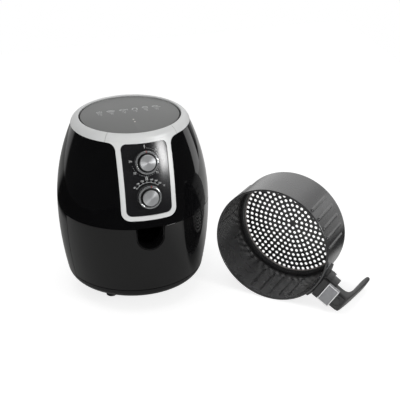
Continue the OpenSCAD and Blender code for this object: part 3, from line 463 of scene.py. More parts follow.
# ---- Ring and frame ----
# The silver trim: a ring round the top with a full shoulder and a turned-in lip, and the frame of the control
# panel, which is one moulding with the ring's front. Lacquered ABS that clips over the shell's edge.

WINDOW_W, WINDOW_BOTTOM, WINDOW_TOP, WINDOW_R = 41.0, 205.5, 330.2, 10.0
SECTOR, RING_SOFT, OUTER_SOFT, INNER_SOFT = 36.5, 0.6, 0.7, 0.5


def on_side(x, z, out=0.0):
    """The point of the housing's front that is seen at x and z, moved outward."""
    r = side_r(z, out)
    return (x, -sqrt(r * r - x * x), z)


# Metallic silver lacquer on ABS, sprayed and satin: pale and nearly white where it faces a lamp, with flakes
# too fine to see that only blur the reflection, and a trace of orange peel about 1.5 mm across.
silver_lacquer = mottled(
    "silver_lacquered_abs", (22.0, 3.0), ((0.3, "#d3d4d4"), (0.7, "#dadbda")), (0.38, 0.44), (0.08, 0.0003),
    {"Metallic": 0.15, "Specular IOR Level": 0.3}, (700.0, 2.0)
)

shoulder = arc(shoulder_x, CREST_Z - SHOULDER_R, SHOULDER_R, shoulder_turn, LIP_TURN, 14)
hollow = arc(shoulder_x, CREST_Z - SHOULDER_R, SHOULDER_R - TRIM_T, LIP_TURN - 8, shoulder_turn, 10)
lip = [(RING_IN_R, CREST_Z - 1.6), (RING_IN_R, DISC_Z), (RING_IN_R + TRIM_T - 0.4, DISC_Z)]
ring_edge = (side_r(RING_FOOT, TRIM), RING_FOOT)
ring_back = (side_r(RING_FOOT, TRIM - TRIM_T), RING_FOOT)
ring_line = shoulder + lip + hollow + [ring_back, ring_edge]
rear_ring = turned(softened(ring_line, RING_SOFT, over=14), SECTOR + 0.4, 360 - SECTOR - 0.4, 150)
piece("top_ring_moulding", shape(*rear_ring), "housing", silver_lacquer, "silver_trim", ["top_ring"])


def stretch(line, n):
    """The line again as n + 1 evenly spaced points."""
    line = np.array(line, float)
    far = np.concatenate([[0], np.cumsum(np.hypot(*np.diff(line, axis=0).T))])
    at = np.linspace(0, far[-1], n + 1)
    return list(zip(np.interp(at, far, line[:, 0]), np.interp(at, far, line[:, 1])))


window_top = arc(WINDOW_W - WINDOW_R, WINDOW_TOP - WINDOW_R, WINDOW_R, 90, 0, 10)
window_foot = arc(WINDOW_W - WINDOW_R, WINDOW_BOTTOM + WINDOW_R, WINDOW_R, 0, -90, 10)
runs = [
    ([(0, RING_FOOT), frame_edge[0]], [(0, WINDOW_TOP), window_top[0]], 12),
    (frame_edge, window_top, 12),
    ([frame_edge[-1], frame_corner[0]], [window_top[-1], window_foot[0]], 18),
    (frame_corner, window_foot, 12),
    ([frame_corner[-1], (0, FRAME_BOTTOM)], [window_foot[-1], (0, WINDOW_BOTTOM)], 8),
]
outer, inner, round_r = [], [], []
for i, (out_line, in_line, n) in enumerate(runs):
    outer += stretch(out_line, n)[:-1]
    inner += stretch(in_line, n)[:-1]
    round_r += [OUTER_SOFT * (0.0, min(1.0, k / 4), 1.0)[min(i, 2)] for k in range(n)]
outer, inner, round_r = outer + [(0, FRAME_BOTTOM)], inner + [(0, WINDOW_BOTTOM)], round_r + [OUTER_SOFT]
outer += [(-x, z) for x, z in outer[-2:0:-1]]
inner += [(-x, z) for x, z in inner[-2:0:-1]]
round_r += round_r[-2:0:-1]
count = len(outer)


def moved_in(line, i, by):
    """Point i of a clockwise closed line, moved to its right-hand side."""
    along = (Vector(line[(i + 1) % count]) - Vector(line[i - 1])).normalized()
    return (line[i][0] + along.y * by, line[i][1] - along.x * by)


def quarter(r):
    """An edge's rounding, from its side to its face: how far in and how far down each step of it lies."""
    return [(r * (1 - cos(a)), r * (1 - sin(a))) for a in np.radians((0, 30, 60, 90))]


rows = [[on_side(*p, TRIM - TRIM_T) for p in outer]]
for c, s in quarter(1.0):
    rows.append([on_side(*moved_in(outer, i, round_r[i] * c), TRIM - round_r[i] * s) for i in range(count)])
for f in np.linspace(0, 1, 7)[1:-1]:
    near = [Vector(moved_in(outer, i, round_r[i])) * (1 - f) for i in range(count)]
    rows.append(
        [on_side(*(a + Vector(moved_in(inner, i, -INNER_SOFT)) * f), TRIM) for i, a in enumerate(near)]
    )
for c, s in quarter(INNER_SOFT)[::-1]:
    rows.append([on_side(*moved_in(inner, i, -c), TRIM - s) for i in range(count)])
rows.append([on_side(*p, TRIM - TRIM_T) for p in inner])
frame_solid = [p for row in rows for p in row], tube(len(rows), count, closed=True)
front_line = softened(shoulder + lip + hollow, RING_SOFT, over=14) + [ring_back, ring_edge]
front = shape(*joined(frame_solid, turned(front_line, -SECTOR, SECTOR, 60)))
piece(
    "front_frame_moulding", front, "housing", silver_lacquer, "silver_trim", ["front_frame"],
    curve=side_normal
)

# ---- Control panel ----
# A curved plate of gloss ABS behind the frame, printed with the dials' scales. Posts on its back hold the
# plates of the timer and the thermostat.


def within(points, loops):
    """Which of the points lie inside the loops, by the even-odd rule."""
    hit = np.zeros(len(points), bool)
    x, y = points[:, 0], points[:, 1]
    for loop in loops:
        a = np.array(loop)
        b = np.roll(a, -1, axis=0)
        for (x0, y0), (x1, y1) in zip(a, b):
            if y0 != y1:
                hit ^= ((y0 > y) != (y1 > y)) & (x < (x1 - x0) * (y - y0) / (y1 - y0) + x0)
    return hit


def skin(loops, place, thick, radius=0.6, spacing=6.0):
    """A curved sheet with rounded front edges.

    The loops are closed outlines on the flat: the first clockwise, holes counter-clockwise. place(u, v, out)
    gives a point's place, out being how far it stands from the front face.
    """
    verts, faces, flat, rims = [], [], [], []
    for loop in loops:
        line = []
        for a, b in zip(loop, loop[1:] + loop[:1]):
            n = max(1, round(dist(a, b) / spacing))
            line += [(a[0] + (b[0] - a[0]) * k / n, a[1] + (b[1] - a[1]) * k / n) for k in range(n)]
        n = len(line)
        inward = []
        for i in range(n):
            p = Vector(line[i])
            a, b = (p - Vector(line[i - 1])).normalized(), (Vector(line[(i + 1) % n]) - p).normalized()
            mid = (a + b).normalized()
            inward.append(Vector((mid.y, -mid.x)) / max(0.5, mid.dot(a)))
        steps = [(0.0, -thick)] + [(c, -s) for c, s in quarter(radius)]
        base = len(verts)
        for inset, out in steps:
            flat_line = [(x + w.x * inset, y + w.y * inset) for (x, y), w in zip(line, inward)]
            verts += [place(*p, out) for p in flat_line]
        faces += tube(len(steps), n, base)
        flat.append(flat_line)
        rims.append((base, base + (len(steps) - 1) * n, n))
    border = np.array([p for line in flat for p in line])
    spread = [
        np.arange(low + 0.4 * spacing, high, spacing)
        for low, high in zip(border.min(axis=0), border.max(axis=0))
    ]
    grid = np.array(list(itertools.product(*spread)))
    gap = np.hypot(grid[:, None, 0] - border[None, :, 0], grid[:, None, 1] - border[None, :, 1]).min(axis=1)
    grid = grid[within(grid, flat) & (gap > 0.4 * spacing)]
    edges, top, under, at = [], [], [], 0
    for low, high, n in rims:
        edges += [(at + i, at + (i + 1) % n) for i in range(n)]
        top += range(high, high + n)
        under += range(low, low + n)
        at += n
    for side, out in ((top, 0.0), (under, -thick)):
        side += range(len(verts), len(verts) + len(grid))
        verts += [place(u, v, out) for u, v in grid]
    points = [Vector(p) for p in border] + [Vector(p) for p in grid]
    found = delaunay_2d_cdt(points, edges, [], 0, 1e-6)
    tris = np.array([[found[3][i][0] for i in tri] for tri in found[2]])
    middles = np.array(points)[tris].mean(axis=1)
    for ids in tris[within(middles, flat)]:
        faces += [tuple(top[i] for i in ids), tuple(under[i] for i in ids[::-1])]
    return verts, faces


def hole(x, y, r, steps=24):
    return arc(x, y, r, 0, 360 - 360 / steps, steps - 1)


# The same bright-moulded ABS, dark grey rather than black, and a little less polished.
gloss_grey = mottled(
    "gloss_charcoal_abs", (17.0, 4.0, 0.6), ((0.3, "#141416"), (0.7, "#19191b")), (0.2, 0.24),
    (0.015, 0.0004), {"IOR": 1.5, "Specular IOR Level": 1.0}, (26.0, 1.0)
)

TIMER_Z, THERMO_Z, SPINDLE_HOLE_R = 299.0, 241.0, 5.6


def behind_frame(x, z, out):
    """A point of the panel, which lies a little behind the side's surface."""
    return on_side(x, z, out - 0.2)


window = box_outline(WINDOW_W - 0.2, WINDOW_BOTTOM + 0.2, WINDOW_TOP - 0.2, WINDOW_R - 0.2, 10)
holes = [hole(0, z, SPINDLE_HOLE_R) for z in (TIMER_Z, THERMO_Z)]
plate = skin([window, *holes], behind_frame, 2.4, 0.4)
posts = []
POST_R, POST_FROM, POST_TO = 3, -2.3, -7.3
post = turned([(0, POST_TO), (POST_R, POST_TO), (POST_R, POST_FROM), (0, POST_FROM)], steps=24)


def dial_seat(z):
    """Where a dial sits on the front: its centre on the side's surface, its axis square to that."""
    tilt = asin((z - BELLY_Z) / UPPER_ARC)
    return Matrix.Translation((0, -side_r(z), z)) @ Matrix.Rotation(pi / 2 - tilt, 4, "X")


for z, x in itertools.product((TIMER_Z, THERMO_Z), (-27, 27)):
    lean = dial_seat(z) @ Matrix.Translation((x, 0, 0))
    posts.append(([tuple(lean @ Vector(p)) for p in post[0]], post[1]))
piece(
    "control_plate", shape(*joined(plate, *posts)), "housing", gloss_grey, "gloss_panel", ["control_panel"],
    curve=side_normal
)

# Pad-printed ink: pale grey, matt, with slightly starved patches 2 mm across.
ink = mottled(
    "pad_printed_ink", (500.0, 2.0), ((0.35, "#b9bbbb"), (0.6, "#dcdddd")), (0.45, 0.6), (0.1, 0.0001),
    {"IOR": 1.5}
)


def figures(text, x, y, size, turn=0.0):
    """Flat points and faces of a line of figures centred on x and y."""
    curve = bpy.data.curves.new("figures", "FONT")
    curve.body, curve.size, curve.resolution_u = text, size, 3
    curve.align_x, curve.align_y = "CENTER", "CENTER"
    thing = shown("figures", curve)
    mesh = carried_out(thing)
    c, s = cos(radians(turn)), sin(radians(turn))
    points = [(x + v.co.x * c + v.co.y * s, y - v.co.x * s + v.co.y * c) for v in mesh.vertices]
    found = points, [tuple(face.vertices) for face in mesh.polygons]
    bpy.data.objects.remove(thing)
    bpy.data.meshes.remove(mesh)
    return found


def dot(x, y, r):
    return hole(x, y, r, 12), [tuple(range(12))]


def stroke(line, width, closed=False):
    """A flat ribbon of a width along a line."""
    n = len(line)
    points = []
    for i, p in enumerate(line):
        a = line[i - 1] if i or closed else p
        b = line[(i + 1) % n] if i < n - 1 or closed else p
        along = (Vector(b) - Vector(a)).normalized() * width / 2
        points += [(p[0] + along.y, p[1] - along.x), (p[0] - along.y, p[1] + along.x)]
    pairs = [(2 * i, 2 * ((i + 1) % n)) for i in range(n if closed else n - 1)]
    return points, [(a, b, b + 1, a + 1) for a, b in pairs]


def from_dial(z, clock, r):
    """A point as seen from the front, at a clockwise angle and distance from a dial's centre."""
    a = radians(clock)
    return (r * sin(a), z + r * cos(a) * cos(asin((z - BELLY_Z) / UPPER_ARC)))


def print_on(name, marks, place):
    """Prints flat marks on the housing, each point where place(x, y) puts it."""
    points, faces = joined(*marks)
    printed = bpy.data.meshes.new(name)
    printed.from_pydata([place(x, y) for x, y in points], [], faces)
    piece(name, printed, "housing", ink, "pale_nylon", is_round=False)


INK_UP = 0.06


def on_plate(x, z):
    """A printed point of the control panel."""
    p = Vector(behind_frame(x, z, 0))
    return tuple(p + INK_UP * side_normal(p))


TIMER_FULL, TIMER_FIGURES, TIMER_DOTS = 276, 27.6, 24.6
HEAT_FROM, HEAT_STEP, HEAT_FIGURES, HEAT_LINE = -54, 16.7, 29.2, 24.3
marks = []
for minute in range(31):
    clock = minute * TIMER_FULL / 30
    if minute % 5 == 0:
        marks.append(figures(str(minute), *from_dial(TIMER_Z, clock, TIMER_FIGURES), 4.9 if minute else 5.6))
    marks.append(dot(*from_dial(TIMER_Z, clock, TIMER_DOTS), 0.38 if minute % 5 else 0.55))
for k in range(7):
    clock = HEAT_FROM + k * HEAT_STEP
    marks.append(figures(str(80 + 20 * k), *from_dial(THERMO_Z, clock, HEAT_FIGURES), 3.9, 0.4 * clock))
    marks.append(stroke([from_dial(THERMO_Z, clock, r) for r in (HEAT_LINE, HEAT_LINE + 2.3)], 0.7))
marks.append(figures("°C", *from_dial(THERMO_Z, 64, 32), 3.9))
marks.append(stroke([from_dial(THERMO_Z, a, HEAT_LINE) for a in np.linspace(HEAT_FROM, 46.2, 30)], 0.45))
marks.append(dot(*from_dial(THERMO_Z, -88, 26), 1.0))
print_on("dial_scales", marks, on_plate)

# ---- Top panel ----
# A round plate of fine-matt grey plastic in the ring, stuck to the shelf, with six food pictograms and two
# lamps. A black seal fills the bottom of the groove round it. The place for a name is left bare.

DISC_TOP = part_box("top_panel")[1].z * 1000
DISC_R, LAMP_R = RING_IN_R - 2.8, 1.8

# Fine-matt polycarbonate: a grain of 0.6 mm that turns the room's light into an even soft sheen.
matt_grey = mottled(
    "fine_matt_polycarbonate", (9.0, 2.0), ((0.3, "#5c5d5c"), (0.7, "#626362")), (0.36, 0.44), (0.12, 0.0002),
    {"IOR": 1.55}, (1600.0, 1.0)
)

disc = turned(softened([(0, DISC_Z), (DISC_R, DISC_Z), (DISC_R, DISC_TOP), (0, DISC_TOP)], 0.5))
bores = []
bore, bore_faces = turned(
    [(0, DISC_Z - 5), (LAMP_R, DISC_Z - 5), (LAMP_R, DISC_TOP + 5), (0, DISC_TOP + 5)], steps=32
)
for x, y in ((1.0, -25.0), (1.0, -36.7)):
    bores.append(shape([(a + x, b + y, c) for a, b, c in bore], bore_faces))
piece("round_panel", cut(shape(*disc), *bores), "housing", matt_grey, "disc_grey", ["top_panel"])
dress(rubber, "top_seal")

# Cast acrylic light pipes: cloudy, with a tiny bubble pattern, nearly white when the lamps are off.
acrylic = mottled(
    "frosted_acrylic", (1800.0, 2.0), ((0.3, "#cfcac0"), (0.7, "#e4e0d8")), (0.2, 0.4), (0.1, 0.0001),
    {"IOR": 1.49}
)
dress(acrylic, "lamp_lenses")


def bump_line(x, y, w, h, steps=12):
    """A low hill of width w and height h."""
    return [(x - w / 2 + w * k / steps, y + h * sin(pi * k / steps)) for k in range(steps + 1)]


def oval(x, y, wide, tall, steps, skew=0.0):
    """A closed oval, fuller on its far side by the skew."""
    around = np.linspace(0, 2 * pi, steps + 1)[:-1]
    return [(x + wide * cos(a) * (1 + skew * sin(a)), y + tall * sin(a)) for a in around]


LINE, ROW_Y = 1.25, 24.0
FOOD_X = (-51.0, -30.0, -7.0, 14.6, 34.0, 54.0)
# Chips in a carton
x, y = FOOD_X[0], ROW_Y
foods = [stroke([(x - 4, y - 4), (x - 5, y + 1), (x + 5, y + 1), (x + 4, y - 4)], LINE, True)]
foods += [stroke([(x + k, y + 1), (x + 1.25 * k, y + 5 - abs(k) / 2)], LINE) for k in (-3.5, -1.2, 1.2, 3.5)]
# Steak
x = FOOD_X[1]
foods += [stroke(oval(x, y, 6.5, 3.6, 24, 0.15), LINE, True), stroke(bump_line(x, y - 0.6, 7, 1.6), LINE)]
# Fish
x = FOOD_X[2]
foods += [stroke(bump_line(x - 1, y, 12, 3.4) + bump_line(x - 1, y, 12, -3.4)[::-1][1:-1], LINE, True)]
foods += [dot(x - 4.6, y + 0.6, 0.6), stroke([(x + 5, y), (x + 8, y + 2.8), (x + 8, y - 2.8)], LINE, True)]
# Prawn
x = FOOD_X[3]
foods += [stroke(arc(x, y - 1, 4.2, -60, 200, 16), 1.6), stroke([(x - 4, y - 2.6), (x - 6.4, y - 4.4)], LINE)]
foods += [stroke([(x + 2, y - 4.6), (x + 4.6, y - 5.4)], LINE)]
# Cup cake
x = FOOD_X[4]
foods += [stroke([(x - 3, y - 4.4), (x - 4.6, y), (x + 4.6, y), (x + 3, y - 4.4)], LINE, True)]
foods += [stroke(bump_line(x, y + 0.4, 11, 5), LINE)]
# Drumstick
x = FOOD_X[5]
foods += [stroke(oval(x - 1.5, y + 1, 4.6, 3.2, 20), LINE, True)]
foods += [stroke([(x + 2.6, y - 0.8), (x + 6.4, y - 3.4)], 1.2), dot(x + 6.8, y - 3.9, 1.1)]
settings = ((200, 15), (180, 12), (180, 20), (160, 8), (160, 25), (180, 22))
for x, (heat, minutes) in zip(FOOD_X, settings):
    foods += [figures(f"{heat}°", x, y - 9.6, 4.9), figures(str(minutes), x, y - 14.6, 4.9)]
print_on("food_pictograms", foods, lambda x, y: (x, y, DISC_TOP + INK_UP))

# ---- Dials ----
# Two knobs alike: a black core pushed on the spindle, a chromed skirt round it, a cap of spun aluminium glued
# into the top and a red mark on the skirt. Each turns with its own shaft.

# Chromium over nickel on ABS: cool, with hardly any blur and faint lines left by polishing. Its colour
# carries painted shade, dark at the cone's foot and above its middle, and a painted highlight in a band
# between and at its top edge.
chrome, where = blank("chromed_abs")
polish = add_node(chrome, "TexNoise", {"Vector": where, "Scale": 400.0, "Detail": 2.0})
height = add_node(chrome, "SeparateXYZ", {"Vector": where})
level = add_node(chrome, "MapRange", {"Value": height.outputs["Z"], "From Min": 0.0, "From Max": 0.0112})
# Painted shade and painted highlight, set in bands by height up the knob.
chrome_shade_tone, chrome_highlight_tone = "#4c4d50", "#dfe1e2"
stops = ((0.0, chrome_shade_tone), (0.12, chrome_highlight_tone), (0.3, chrome_highlight_tone), (0.42, chrome_shade_tone), (0.66, chrome_shade_tone), (0.78, chrome_highlight_tone))
tone = add_node(chrome, "ValToRGB", {"Fac": level}, stops)
keen = add_node(chrome, "MapRange", {"Value": polish, "To Min": 0.08, "To Max": 0.16})
wipe = add_node(chrome, "Bump", {"Height": polish, "Strength": 0.06, "Distance": 0.0001})
skinned(chrome, tone, keen, wipe, {"Metallic": 0.85})

# Spun aluminium: the tool leaves fine rings, so light gathers in two bright fans through the centre. The
# rings are some 0.1 mm apart in truth and are drawn at 0.8 mm.
spun, where = blank("spun_aluminium")
pattern = {"Vector": where, "Scale": 392.0, "Distortion": 0.6, "Detail": 1.0}
rings = add_node(spun, "TexWave", pattern, wave_type="RINGS", rings_direction="Z").outputs["Fac"]
cutting = add_node(spun, "Bump", {"Height": rings, "Strength": 0.12, "Distance": 0.0001})
tone = add_node(spun, "ValToRGB", {"Fac": rings}, ((0.0, "#d6d8da"), (1.0, "#ebeced")))
turn_mark = add_node(spun, "Tangent", direction_type="RADIAL", axis="Z")
satin = add_node(spun, "MapRange", {"Value": rings, "To Min": 0.32, "To Max": 0.38})
lathe = {"Metallic": 0.75, "Anisotropic": 0.75, "Anisotropic Rotation": 0.25, "Tangent": turn_mark}
skinned(spun, tone, satin, cutting, lathe)

# Red lacquer filled into the mark, glossy, a little uneven over its 3 mm.
red_fill = mottled(
    "red_lacquer", (600.0, 2.0), ((0.3, "#85141c"), (0.7, "#9c1d26")), (0.2, 0.35), (0.1, 0.0001),
    {"IOR": 1.5}
)

KNOB_R, CAP_R, SKIRT_H, KNOB_H, CORE_R = 21.0, 14.0, 11.0, 17.0, 16.8
knob_skirt = [(CORE_R, 1), (KNOB_R, 1), (KNOB_R, 4.4)] + arc(KNOB_R - 2.4, SKIRT_H - 1.8, 1.8, 10, 180, 9)
knob_core = [(0, 1), (CORE_R, 1), (CORE_R, 9), (CAP_R - 1.2, 9), (CAP_R - 1.2, 13), (0, 13)]
knob_cap = [(0, 13.2), (CAP_R, 13.2), (CAP_R, KNOB_H - 1.4), (CAP_R - 0.7, KNOB_H), (0, KNOB_H - 0.5)]
knob_mark = [(0.7, 9.4), (0.4, 9.7), (1.6, 11.3), (3.2, 11.3), (3.4, 10.6), (2.4, 10.7)]
knob_mark = [(KNOB_R - inset, height) for inset, height in knob_mark]
rings_of_knob = (
    ("skirt", knob_skirt, 0.5, chrome, "chrome_trim"),
    ("core", knob_core, 0.4, nylon, "black_nylon"),
    ("cap", knob_cap, 0.35, spun, "spun_cap"),
)
for name, knob, z, rest in (
    ("timer", "timer_knob", TIMER_Z, 0.0), ("thermo", "temperature_knob", THERMO_Z, 10.0)
):
    for part, outline, soft, finish, slot in rings_of_knob:
        solid = shape(*turned(softened(outline, soft), steps=96))
        piece(f"{name}_knob_{part}", solid, knob, finish, slot, [f"{name}_{part}"], place=dial_seat(z))
    mark = shape(*turned(softened(knob_mark, 0.15), 178 - rest, 182 - rest, 6))
    piece(f"{name}_knob_mark", mark, knob, red_fill, "red_mark", [f"{name}_pointer"], place=dial_seat(z))

# ---- Drawer ----
# The front of the pan drawer: a curved gloss moulding with turned-back edges and a notch for the handle's
# neck, lined by a black collar. Behind it an inner wall carries the non-stick pan, which runs on its rim.

DRAWER_LOW, DRAWER_HIGH, DRAWER_TURN = 50.3, 180.7, 71.75
NOTCH_R, NOTCH_Z = 25.5, 162.5


def round_side(s, z, out=0.0):
    """A point of the side from its way round the belly, counted from the front, and its height."""
    r, a = side_r(z, out), s / BELLY_R
    return (r * sin(a), -r * cos(a), z)


def way_round(x, z):
    """The inverse of that, for a point seen at x and z."""
    return (BELLY_R * asin(x / side_r(z)), z)


# The drawer's black is the shell's, from another tool: the same gloss with a calmer surface.
gloss_front = mottled(
    "gloss_black_abs_front", (12.0, 4.0, 0.6), ((0.3, "#0a0a0a"), (0.7, "#0d0d0e")), (0.05, 0.09),
    (0.04, 0.0006), {"IOR": 1.5}, (24.0, 1.0)
)


def notch_line(top):
    """The notch's outline, from one upper end round to the other."""
    return [(NOTCH_R, top)] + arc(0, NOTCH_Z, NOTCH_R, 0, -180, 36) + [(-NOTCH_R, top)]


edge_s = BELLY_R * radians(DRAWER_TURN)
border = [way_round(x, z) for x, z in notch_line(DRAWER_HIGH)]
border += [(-edge_s, DRAWER_HIGH), (-edge_s, DRAWER_LOW), (edge_s, DRAWER_LOW), (edge_s, DRAWER_HIGH)]
border = softened(border, 1.6, 4, 50)[::-1]
face = skin([border], round_side, 3.0, 0.8, 7.0)
notch_turn = degrees(asin(NOTCH_R / side_r(DRAWER_HIGH)))
FLANGE_TURN = 71.6


def flange(z, low, high):
    """The section of a turned-back edge of the front."""
    return [(side_r(z) - 9, low), (side_r(z) - 2, low), (side_r(z) - 2, high), (side_r(z) - 9, high)]


top_edge, low_edge = flange(DRAWER_HIGH, 177.7, 180.5), flange(DRAWER_LOW, 50.5, 53.3)
flanges = [turned(top_edge, -FLANGE_TURN, -notch_turn, 48), turned(top_edge, notch_turn, FLANGE_TURN, 48)]
flanges.append(turned(low_edge, -FLANGE_TURN, FLANGE_TURN, 96))


def drawer_normal(point):
    """The front leans in a little more than the shell above it."""
    normal = side_normal(point)
    lean = radians(4.0) * max(0.0, min(1.0, (point.z - 40) / 110))
    return (normal + Vector((0, 0, -tan(lean)))).normalized()


piece(
    "drawer_moulding", shape(*joined(face, *flanges)), "drawer", gloss_front, "gloss_panel", ["drawer_front"],
    curve=drawer_normal
)

throat = notch_line(DRAWER_HIGH - 0.4)
COLLAR_R, COLLAR_IN_R, COLLAR_OUT, COLLAR_IN, LIP_R = 139.15, 115.2, 0.2, 2.4, 1.1
lip_edge = quarter(LIP_R)
ring_of = [(COLLAR_OUT, COLLAR_IN_R)] + [(COLLAR_OUT + c, COLLAR_R - s) for c, s in lip_edge]
ring_of += [(COLLAR_IN - c, COLLAR_R - s) for c, s in lip_edge[::-1]] + [(COLLAR_IN, COLLAR_IN_R)]
verts, m = [], len(ring_of)
for i, (x, z) in enumerate(throat):
    toward = Vector((-x, 0 if i in (0, len(throat) - 1) else NOTCH_Z - z)).normalized()
    for inset, r in ring_of:
        px, pz = x + toward.x * inset, z + toward.y * inset
        verts.append((px, -sqrt(r * r - px * px), pz))
collar = shape(verts, tube(len(throat), m) + ends(len(throat), m))
piece("notch_collar", collar, "drawer", gloss_front, "black_nylon", ["drawer_collar"], is_round=False)
dress(nylon, "drawer_inner")

# ---- Basket ----
# Deep-drawn from 1 mm sheet: a slightly tapered wall with a rolled rim and three groups of five pressed ribs,
# and a perforated floor with a turned-up edge set into it. Both have a dark non-stick coating.

RIM_R, WALL_R, LOW_R, DEEP, BEND_R, SHEET = 110.4, 108.0, 106.6, 106.5, 8.0, 1.0
RIM_H, RIB_TOP, RIB_LONG, RIB_R, RIB_FADE, RIB_HIGH, FLANGE_R = 3.2, -14.0, 65.0, 2.0, 0.8, 2.4, 97.3
wall_turn = atan((WALL_R - LOW_R) / (DEEP - BEND_R - RIM_H))


def wall_r(z):
    return WALL_R + (z + RIM_H) * tan(wall_turn)


# It lies on its side and rests on its rim and on the lower ends of its ribs: tilt is how far its axis leans
# from upright, and lift how high its middle is.
rib_foot = RIB_TOP - RIB_LONG
rib_end, rim_end = (wall_r(rib_foot) + 0.3 - RIB_FADE, rib_foot), (RIM_R, 0.8 - RIM_H)
span = Vector((rim_end[0] - rib_end[0], rib_end[1] - rim_end[1]))
tilt = atan2(span.y, span.x) + acos(RIB_R / span.length)
lift = rim_end[0] * cos(tilt) - rim_end[1] * sin(tilt)
lying = Matrix.Translation((224.0, -140.2, lift)) @ Matrix.Rotation(radians(-132.2), 4, "Z")
lying = lying @ Matrix.Rotation(pi / 2 - tilt, 4, "Y") @ Matrix.Rotation(radians(147.5), 4, "Z")

# Non-stick coating sprayed and baked on steel: charcoal and satin, with a mottle of 3 mm so faint that it
# only softens the shine. The perforated floor is given a darker grey than the drawn wall.


def coating(name, dark, pale):
    """The coat, from two close greys."""
    coat, where = blank(name)
    mottle = add_node(coat, "TexNoise", {"Vector": where, "Scale": 330.0, "Detail": 3.0})
    drift = add_node(coat, "TexNoise", {"Vector": where, "Scale": 24.0, "Detail": 2.0})
    orange = add_node(coat, "Bump", {"Height": mottle, "Strength": 0.015, "Distance": 0.0001})
    ends_of = {"From Min": MOTTLE[0], "From Max": MOTTLE[1], "To Min": 0.25, "To Max": 0.29}
    satin = add_node(coat, "MapRange", {"Value": drift, **ends_of})
    tone = add_node(coat, "ValToRGB", {"Fac": mottle}, ((0.3, dark), (0.7, pale)))
    return skinned(coat, tone, satin, orange, {"IOR": 1.6, "Specular IOR Level": 1.0})


nonstick = coating("baked_nonstick_coating", "#2b2b2c", "#2d2d2e")
# The floor's coat is a darker grey than the wall's.
darker_floor_coat = coating("darker_nonstick_coating", "#1c1c1d", "#212122")
dress(nonstick, "pan")

# A rib's back is round up to a part of its radius, ROUND_TO, and falls off straight from there.
RIB_STEP, RIB_SPAN, RIB_AT_R, RIB_OUT_R, RIB_IN_R = 10.5, 2.6, 107.5, 3.4, 2.2
ROUND_TO, ROUND_HIGH, RIB_FALL = 0.94, 0.341, 2.6
rib_turns = np.array([g + i * RIB_STEP for g in (-60, 60, 180) for i in (-2, -1, 0, 1, 2)])


def from_rib(a):
    """How many degrees an angle is away from the nearest rib."""
    return np.abs((a - rib_turns + 180) % 360 - 180).min()


fine = (rib_turns[:, None] + np.linspace(-RIB_SPAN, RIB_SPAN, 25)).ravel() % 360
turns = np.sort(np.concatenate([fine, [a for a in np.arange(0, 360, 2.0) if from_rib(a) > RIB_SPAN + 0.4]]))


def pressed(a, z, high, r):
    """How far a rib of radius r lifts the wall at an angle and height."""
    across = radians(from_rib(a)) * RIB_AT_R
    along = max(0.0, z - RIB_TOP, rib_foot - z)
    far = hypot(across, along)
    down = min(1.0, max(0.0, (RIB_TOP - z) / RIB_LONG))
    straight = ROUND_HIGH * r - RIB_FALL * (far - ROUND_TO * r)
    back = sqrt(r * r - far * far) if far < ROUND_TO * r else straight
    hill = high - RIB_FADE * down - r + back
    return (hill + sqrt(hill * hill + 0.02)) / 2 if hill > -3 else 0.0


rim = arc(RIM_R - RIM_H / 2, -RIM_H / 2, RIM_H / 2, -85, 90, 12)
rim += [(WALL_R - SHEET + 0.6, 0.0), (WALL_R - SHEET + 0.15, -0.2), (WALL_R - SHEET, -0.7)]
ladders = ((-4.0, -98.5, -2.5), (-11.4, -14.1, -0.35), (-78.8, -81.4, -0.35))
heights = np.unique(np.concatenate([np.arange(*ladder) for ladder in ladders] + [[-97.5, -98.5]]))
bend = LOW_R - BEND_R, BEND_R - DEEP
line = [(WALL_R, -RIM_H)] + [("outside", z) for z in heights[::-1]] + arc(*bend, BEND_R, 0, -90)[1:]
line += [(FLANGE_R, -DEEP), (FLANGE_R, SHEET - DEEP)] + arc(*bend, BEND_R - SHEET, -90, 0)[:-1]
line += [("inside", z) for z in heights] + rim[::-1]
verts = []
for a in turns:
    c, s = cos(radians(a)), sin(radians(a))
    for kind, z in line:
        if kind == "outside":
            r = wall_r(z) + pressed(a, z, RIB_HIGH, RIB_OUT_R)
        elif kind == "inside":
            r = wall_r(z) - SHEET + pressed(a, z, RIB_HIGH, RIB_IN_R)
        else:
            r = kind
        verts.append((r * s, -r * c, z))
drawn = shape(verts, tube(len(turns), len(line), closed=True))
LAID = {"is_round": False, "laid": lying}
piece("basket_drawn_wall", drawn, "basket", nonstick, "nonstick", ["basket_wall"], sharp=50, **LAID)

SIEVE_Z, FLOOR_R, HOLE_R, PITCH = -104.45, 98.4, 2.95, 9.4
loops = [[(FLOOR_R * cos(a), FLOOR_R * sin(a)) for a in np.linspace(2 * pi, 0, 121)[:-1]]]
for k in range(1, 11):
    for i in range(6 * k):
        a = radians((60 * i + 41.5) / k - 4.5)
        loops.append(hole(k * PITCH * cos(a), k * PITCH * sin(a), HOLE_R, 18))


def on_floor(x, y, out):
    return (x, y, SIEVE_Z + out)


sieve = shape(*skin(loops, on_floor, SHEET, 0.25, 9.0))
piece("basket_perforated_floor", sieve, "basket", darker_floor_coat, "nonstick", ["basket_floor"], **LAID)

